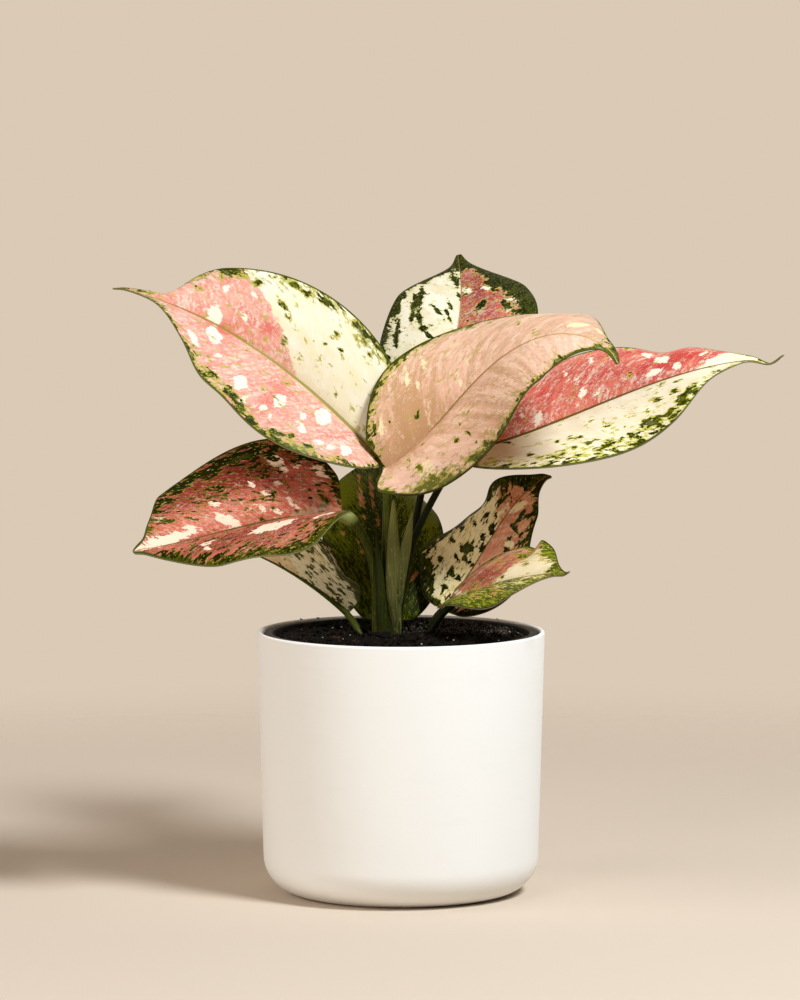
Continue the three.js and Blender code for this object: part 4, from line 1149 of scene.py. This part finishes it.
# Upright leaf: it stands at the right, cream with many dark specks on one half and dusky pink on
# the other, inside a wide dark margin.
upright_tones = {
    **cream_tones, "cream": shade(252, 238, 190), "cream_shade": shade(246, 224, 160),
    "pale": shade(252, 234, 184), "pink": shade(240, 170, 134), "pink_deep": shade(206, 110, 86),
    "lime": shade(170, 156, 60), "green": shade(64, 68, 8), "green_dark": shade(24, 28, 1),
    "rib": shade(80, 70, 20), "rib_tip": shade(150, 100, 56), "edge": shade(36, 42, 4),
    "gloss": 0.04, "cell": (1.5, 1.6),
}
grow_leaf(
    "leaf_upright",
    seed=101,
    base=(19.5, 6, 138), length=89, half=27.5, taper=0.9, drip=0.72, heading=(40, 24, 25),
    rise=(33, 55, 21), roll=(22, 20, 14), sway=0.6,
    left={
        "fold": (23, 30), "bend": (40, 19), "wave": (6.8, 1.6, -0.1), "lobe": 2,
        "folds": [(0.67, 0.08, -4.5, -1.5)], "pink": (50, 300), "band": (5, 4, 11), "edge": 0.8,
        "specks": 0.22,
    },
    right={
        "fold": (16, 13), "bend": (48, 34), "wave": (2.1, 1.5, 0.3), "lobe": 2, "pink": (-90, 300),
        "band": (6, 6, 5), "edge": 0.8, "specks": 0.1,
    },
    grid=(90, 48), stalk=[(12.6, 3.2, 95), (13.2, 3.6, 120), (15.6, 4.6, 131.5)], stalk_radius=2,
    stalk_skin=dark_stalk, lean=0.3, quilt=0.14, slot="leaf_cream", tones=upright_tones,
    deep=[(60, 0, 40, 20, 0, 0.1)],
    pale=[
        (64, -4, 13, 7.4, 39), (45, -14, 7, 4.4, -81), (60, -12, 8, 3.6, -42), (56, 3, 14, 3, 0),
        (27, 12, 6, 4, 30), (42, 9, 10, 4, 50),
    ],
    dark=[
        *alike(
            0.95,
            (35, 18, 6.1, 2.5, 68), (44, 24, 7.8, 2.2, 77), (33, 10, 5.3, 2.2, 63),
            (35, 6, 4.9, 2.2, 57), (28, 10, 3.5, 2.2, 65), (29, 6, 3.8, 2.2, 73),
            (19, 7, 4.8, 2.9, 62), (19, 3, 4.2, 2.6, 49), (28, 1, 3.6, 2.2, -12),
            (37, 1, 3.9, 2.6, -7), (47, 1, 3.4, 2.6, -14), (43, 4, 4.2, 2.2, 75),
            (53, 10, 5.5, 4.3, -3), (51, 2, 4.4, 2.5, -26), (47, 13, 5.7, 2.2, 76),
            (18, 19, 7.5, 4.9, 71), (11, 14, 11, 3.5, 41), (23, 16, 4.6, 3.4, 47),
            (2, 6, 5.8, 2.2, 73), (11, 6, 4.8, 3.1, 84), (2, 3, 4.8, 2.2, 52),
            (41, -15, 6.6, 2.3, -74), (47, -13, 6.1, 3.1, 54), (57, -11, 5.3, 3.2, -12),
            (53, -12, 12.3, 2.2, -69), (62, -10, 4.8, 3.4, -13), (62, 8, 5.7, 2.3, -43),
        ),
        (27, -12, 12, 3, 40, 0.4), (52, -7, 8, 5, -79, -0.3), (35, -8, 13, 8, 31, -0.2),
    ],
)

# Lower right leaf: it reaches out low at the right. The far half is pink and cream, and the near
# half droops and is green with yellow streaks.
grow_leaf(
    "leaf_lower_right",
    seed=113,
    base=(24, -6, 142.5), length=75, half=25.5, taper=0.85, drip=0.72, heading=(-31, -39, -42),
    rise=(27, 14, 5), roll=(17, 32, 24), sway=-0.5,
    left={
        "fold": (28, 19), "bend": (37, 27), "wave": (0.9, 1.5, 0.1), "lobe": 6,
        "folds": [(0.55, 0.04, -2.4, 0), (0.66, 0.06, 3.2, 0)], "pink": (-90, 26),
        "band": (3, 3, 6), "edge": 0.8, "specks": 0.14,
    },
    right={
        "fold": (30, 17), "bend": (35, 29), "wave": (2, 1.7, 0.9), "lobe": 6, "pink": (-90, 24),
        "band": (7, 7, 6), "edge": 0.5, "specks": 0.55,
    },
    grid=(84, 48), stalk=[(8.6, -6.4, 95), (10.4, -6.2, 118), (14.2, -6, 128), (19, -6, 135.5)],
    stalk_radius=2.2, stalk_skin=dark_stalk, lean=0.9, quilt=0.12, slot="leaf_green",
    tones={
        **cream_tones, "cream": shade(228, 210, 170), "pale": shade(230, 214, 176),
        "pink": shade(196, 112, 90), "pink_deep": shade(150, 66, 54), "lime": shade(176, 158, 60),
        "green": shade(132, 136, 34), "green_dark": shade(66, 74, 10), "mist": shade(76, 80, 50),
        "dot": shade(214, 202, 110), "dots": 1, "rib": shade(104, 84, 28),
        "rib_tip": shade(104, 90, 34), "halo": 0.7, "gloss": 0.05, "cell": (1.6, 1.6),
    },
    deep=[(20, 8, 20, 10, 0, 0.3)],
    pale=[(47, 5, 28, 8, 6), (12, -5, 34, 4.4, 51)],
    dark=[
        (14, 4, 16, 4, 20, 0.4), (56, 13, 12, 5, -37, 0.7), (40, 16, 21, 3.4, -17, 0.6),
        (45, 8, 8, 3, 21, 0.6), (66, 2, 14, 8, 0, 0.5), (31, -23, 20, 5, 1, 0.6),
        (5, -11, 13, 3, 53, 0.5), (38, -16, 13, 4, -9, -0.3), (47, 5, 24, 8, 6, -0.3),
        (25, 6, 13, 9, -8, -0.2),
    ],
)

# Floor: a plain round sheet of warm pale card that fades out round its edge. A larger folded card
# under and behind it only throws soft light back on the plant, and the camera looks past it.
FLOOR_RADIUS = 0.85
FADE_START = 0.42
FADE_END = 0.84
CARD_FRONT = -3.2
CARD_BACK = 0.86
CARD_TOP = 2.6
CARD_HALF_WIDTH = 3.0
CARD_LOWER = -0.002


def card_finish(name, fading):
    made, start = new_material(name)
    place = start.node("TexCoord", take="Object")
    drift = start.cloud(place, [0.5] * 3, 30, 2.0)
    grain = start.cloud(place, [0.004] * 3, 31, 2.0)
    colour = (drift + 0.2 * (grain - 0.5)).clamped().mix(shade(207, 191, 173), shade(211, 195, 177))
    fixed = {"Specular IOR Level": 0.1}
    if fading:
        away = start.node("VectorMath", {"operation": "LENGTH"}, {0: place}, take="Value")
        left = ((FADE_END - away) * (1 / (FADE_END - FADE_START))).clamped()
        fixed["Alpha"] = left * left * (3 - 2 * left)
    surface(start, colour, 0.85 + 0.1 * grain, None, fixed)
    return made


floor = bmesh.new()
bmesh.ops.create_circle(floor, cap_ends=True, segments=96, radius=FLOOR_RADIUS)
object_from("floor", floor, [card_finish("floor_card", True)])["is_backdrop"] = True

card = bmesh.new()
profile = [(CARD_FRONT, CARD_LOWER), (CARD_BACK, CARD_LOWER), (CARD_BACK, CARD_TOP)]
line = [card.verts.new((-CARD_HALF_WIDTH, y, z)) for y, z in profile]
edges = [card.edges.new(pair) for pair in zip(line, line[1:])]
grown = bmesh.ops.extrude_edge_only(card, edges=edges)["geom"]
moved = [g for g in grown if isinstance(g, bmesh.types.BMVert)]
bmesh.ops.translate(card, verts=moved, vec=(2 * CARD_HALF_WIDTH, 0, 0))
bmesh.ops.recalc_face_normals(card, faces=card.faces)
bounce = object_from("bounce_card", card, [card_finish("bounce_card", False)])
bounce.visible_camera = False
bounce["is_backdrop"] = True

# Light: a large soft lamp to the right and in front, high up, and two wide weak ones at the left
# that leave the shadows warm. The air is dim, and only the camera sees it as a plain pale wall.
def soft_light(name, place, size, power, colour):
    lamp = bpy.data.lights.new(name, "AREA")
    lamp.shape = "DISK"
    lamp.size = size
    lamp.energy = power
    lamp.color = colour
    made = bpy.data.objects.new(name, lamp)
    made.location = place
    made.rotation_euler = (Vector((0, 0, 0.15)) - Vector(place)).to_track_quat("-Z", "Y").to_euler()
    bpy.context.scene.collection.objects.link(made)


WARM = (1, 0.941, 0.882)
AIR_STRENGTH = 0.02
soft_light("key_light", (0.94, -0.877, 1.682), 0.55, 50, (0.877, 0.943, 1))
soft_light("fill_front", (-1.294, -1.847, 0.971), 1.4, 16.5, WARM)
soft_light("fill_left", (-2.101, -0.563, 1.164), 1.4, 17.3, WARM)
air = bpy.data.worlds.new("air")
bpy.context.scene.world = air
air.use_nodes = True
air.node_tree.nodes.clear()
start = Socket(air.node_tree)
dim = start.node("Background", None, {"Color": shade(255, 249, 240), "Strength": AIR_STRENGTH})
plain = start.node("Background", None, {"Color": shade(218, 202, 182), "Strength": 1.0})
seen = start.node("LightPath", take="Is Camera Ray")
both = start.node("MixShader", None, {0: seen, 1: dim, 2: plain})
start.node("OutputWorld", None, {"Surface": both})

# Camera: a long lens in front of the plant, a little above it and tilted down.
CAMERA_PLACE = (-0.00044, -2.6, 0.427)
CAMERA_TILT = math.radians(90 - 5.17)
CAMERA_LENS = 193.46
CAMERA_SENSOR = 36
camera = bpy.data.cameras.new("camera")
camera.sensor_fit = "VERTICAL"
camera.sensor_height = CAMERA_SENSOR
camera.lens = CAMERA_LENS
viewer = bpy.data.objects.new("camera", camera)
viewer.location = CAMERA_PLACE
viewer.rotation_euler = (CAMERA_TILT, 0, 0)
bpy.context.scene.collection.objects.link(viewer)
bpy.context.scene.camera = viewer
bpy.context.scene.view_settings.view_transform = "Standard"

sizes = {"cad": cad_box, "visual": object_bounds()}
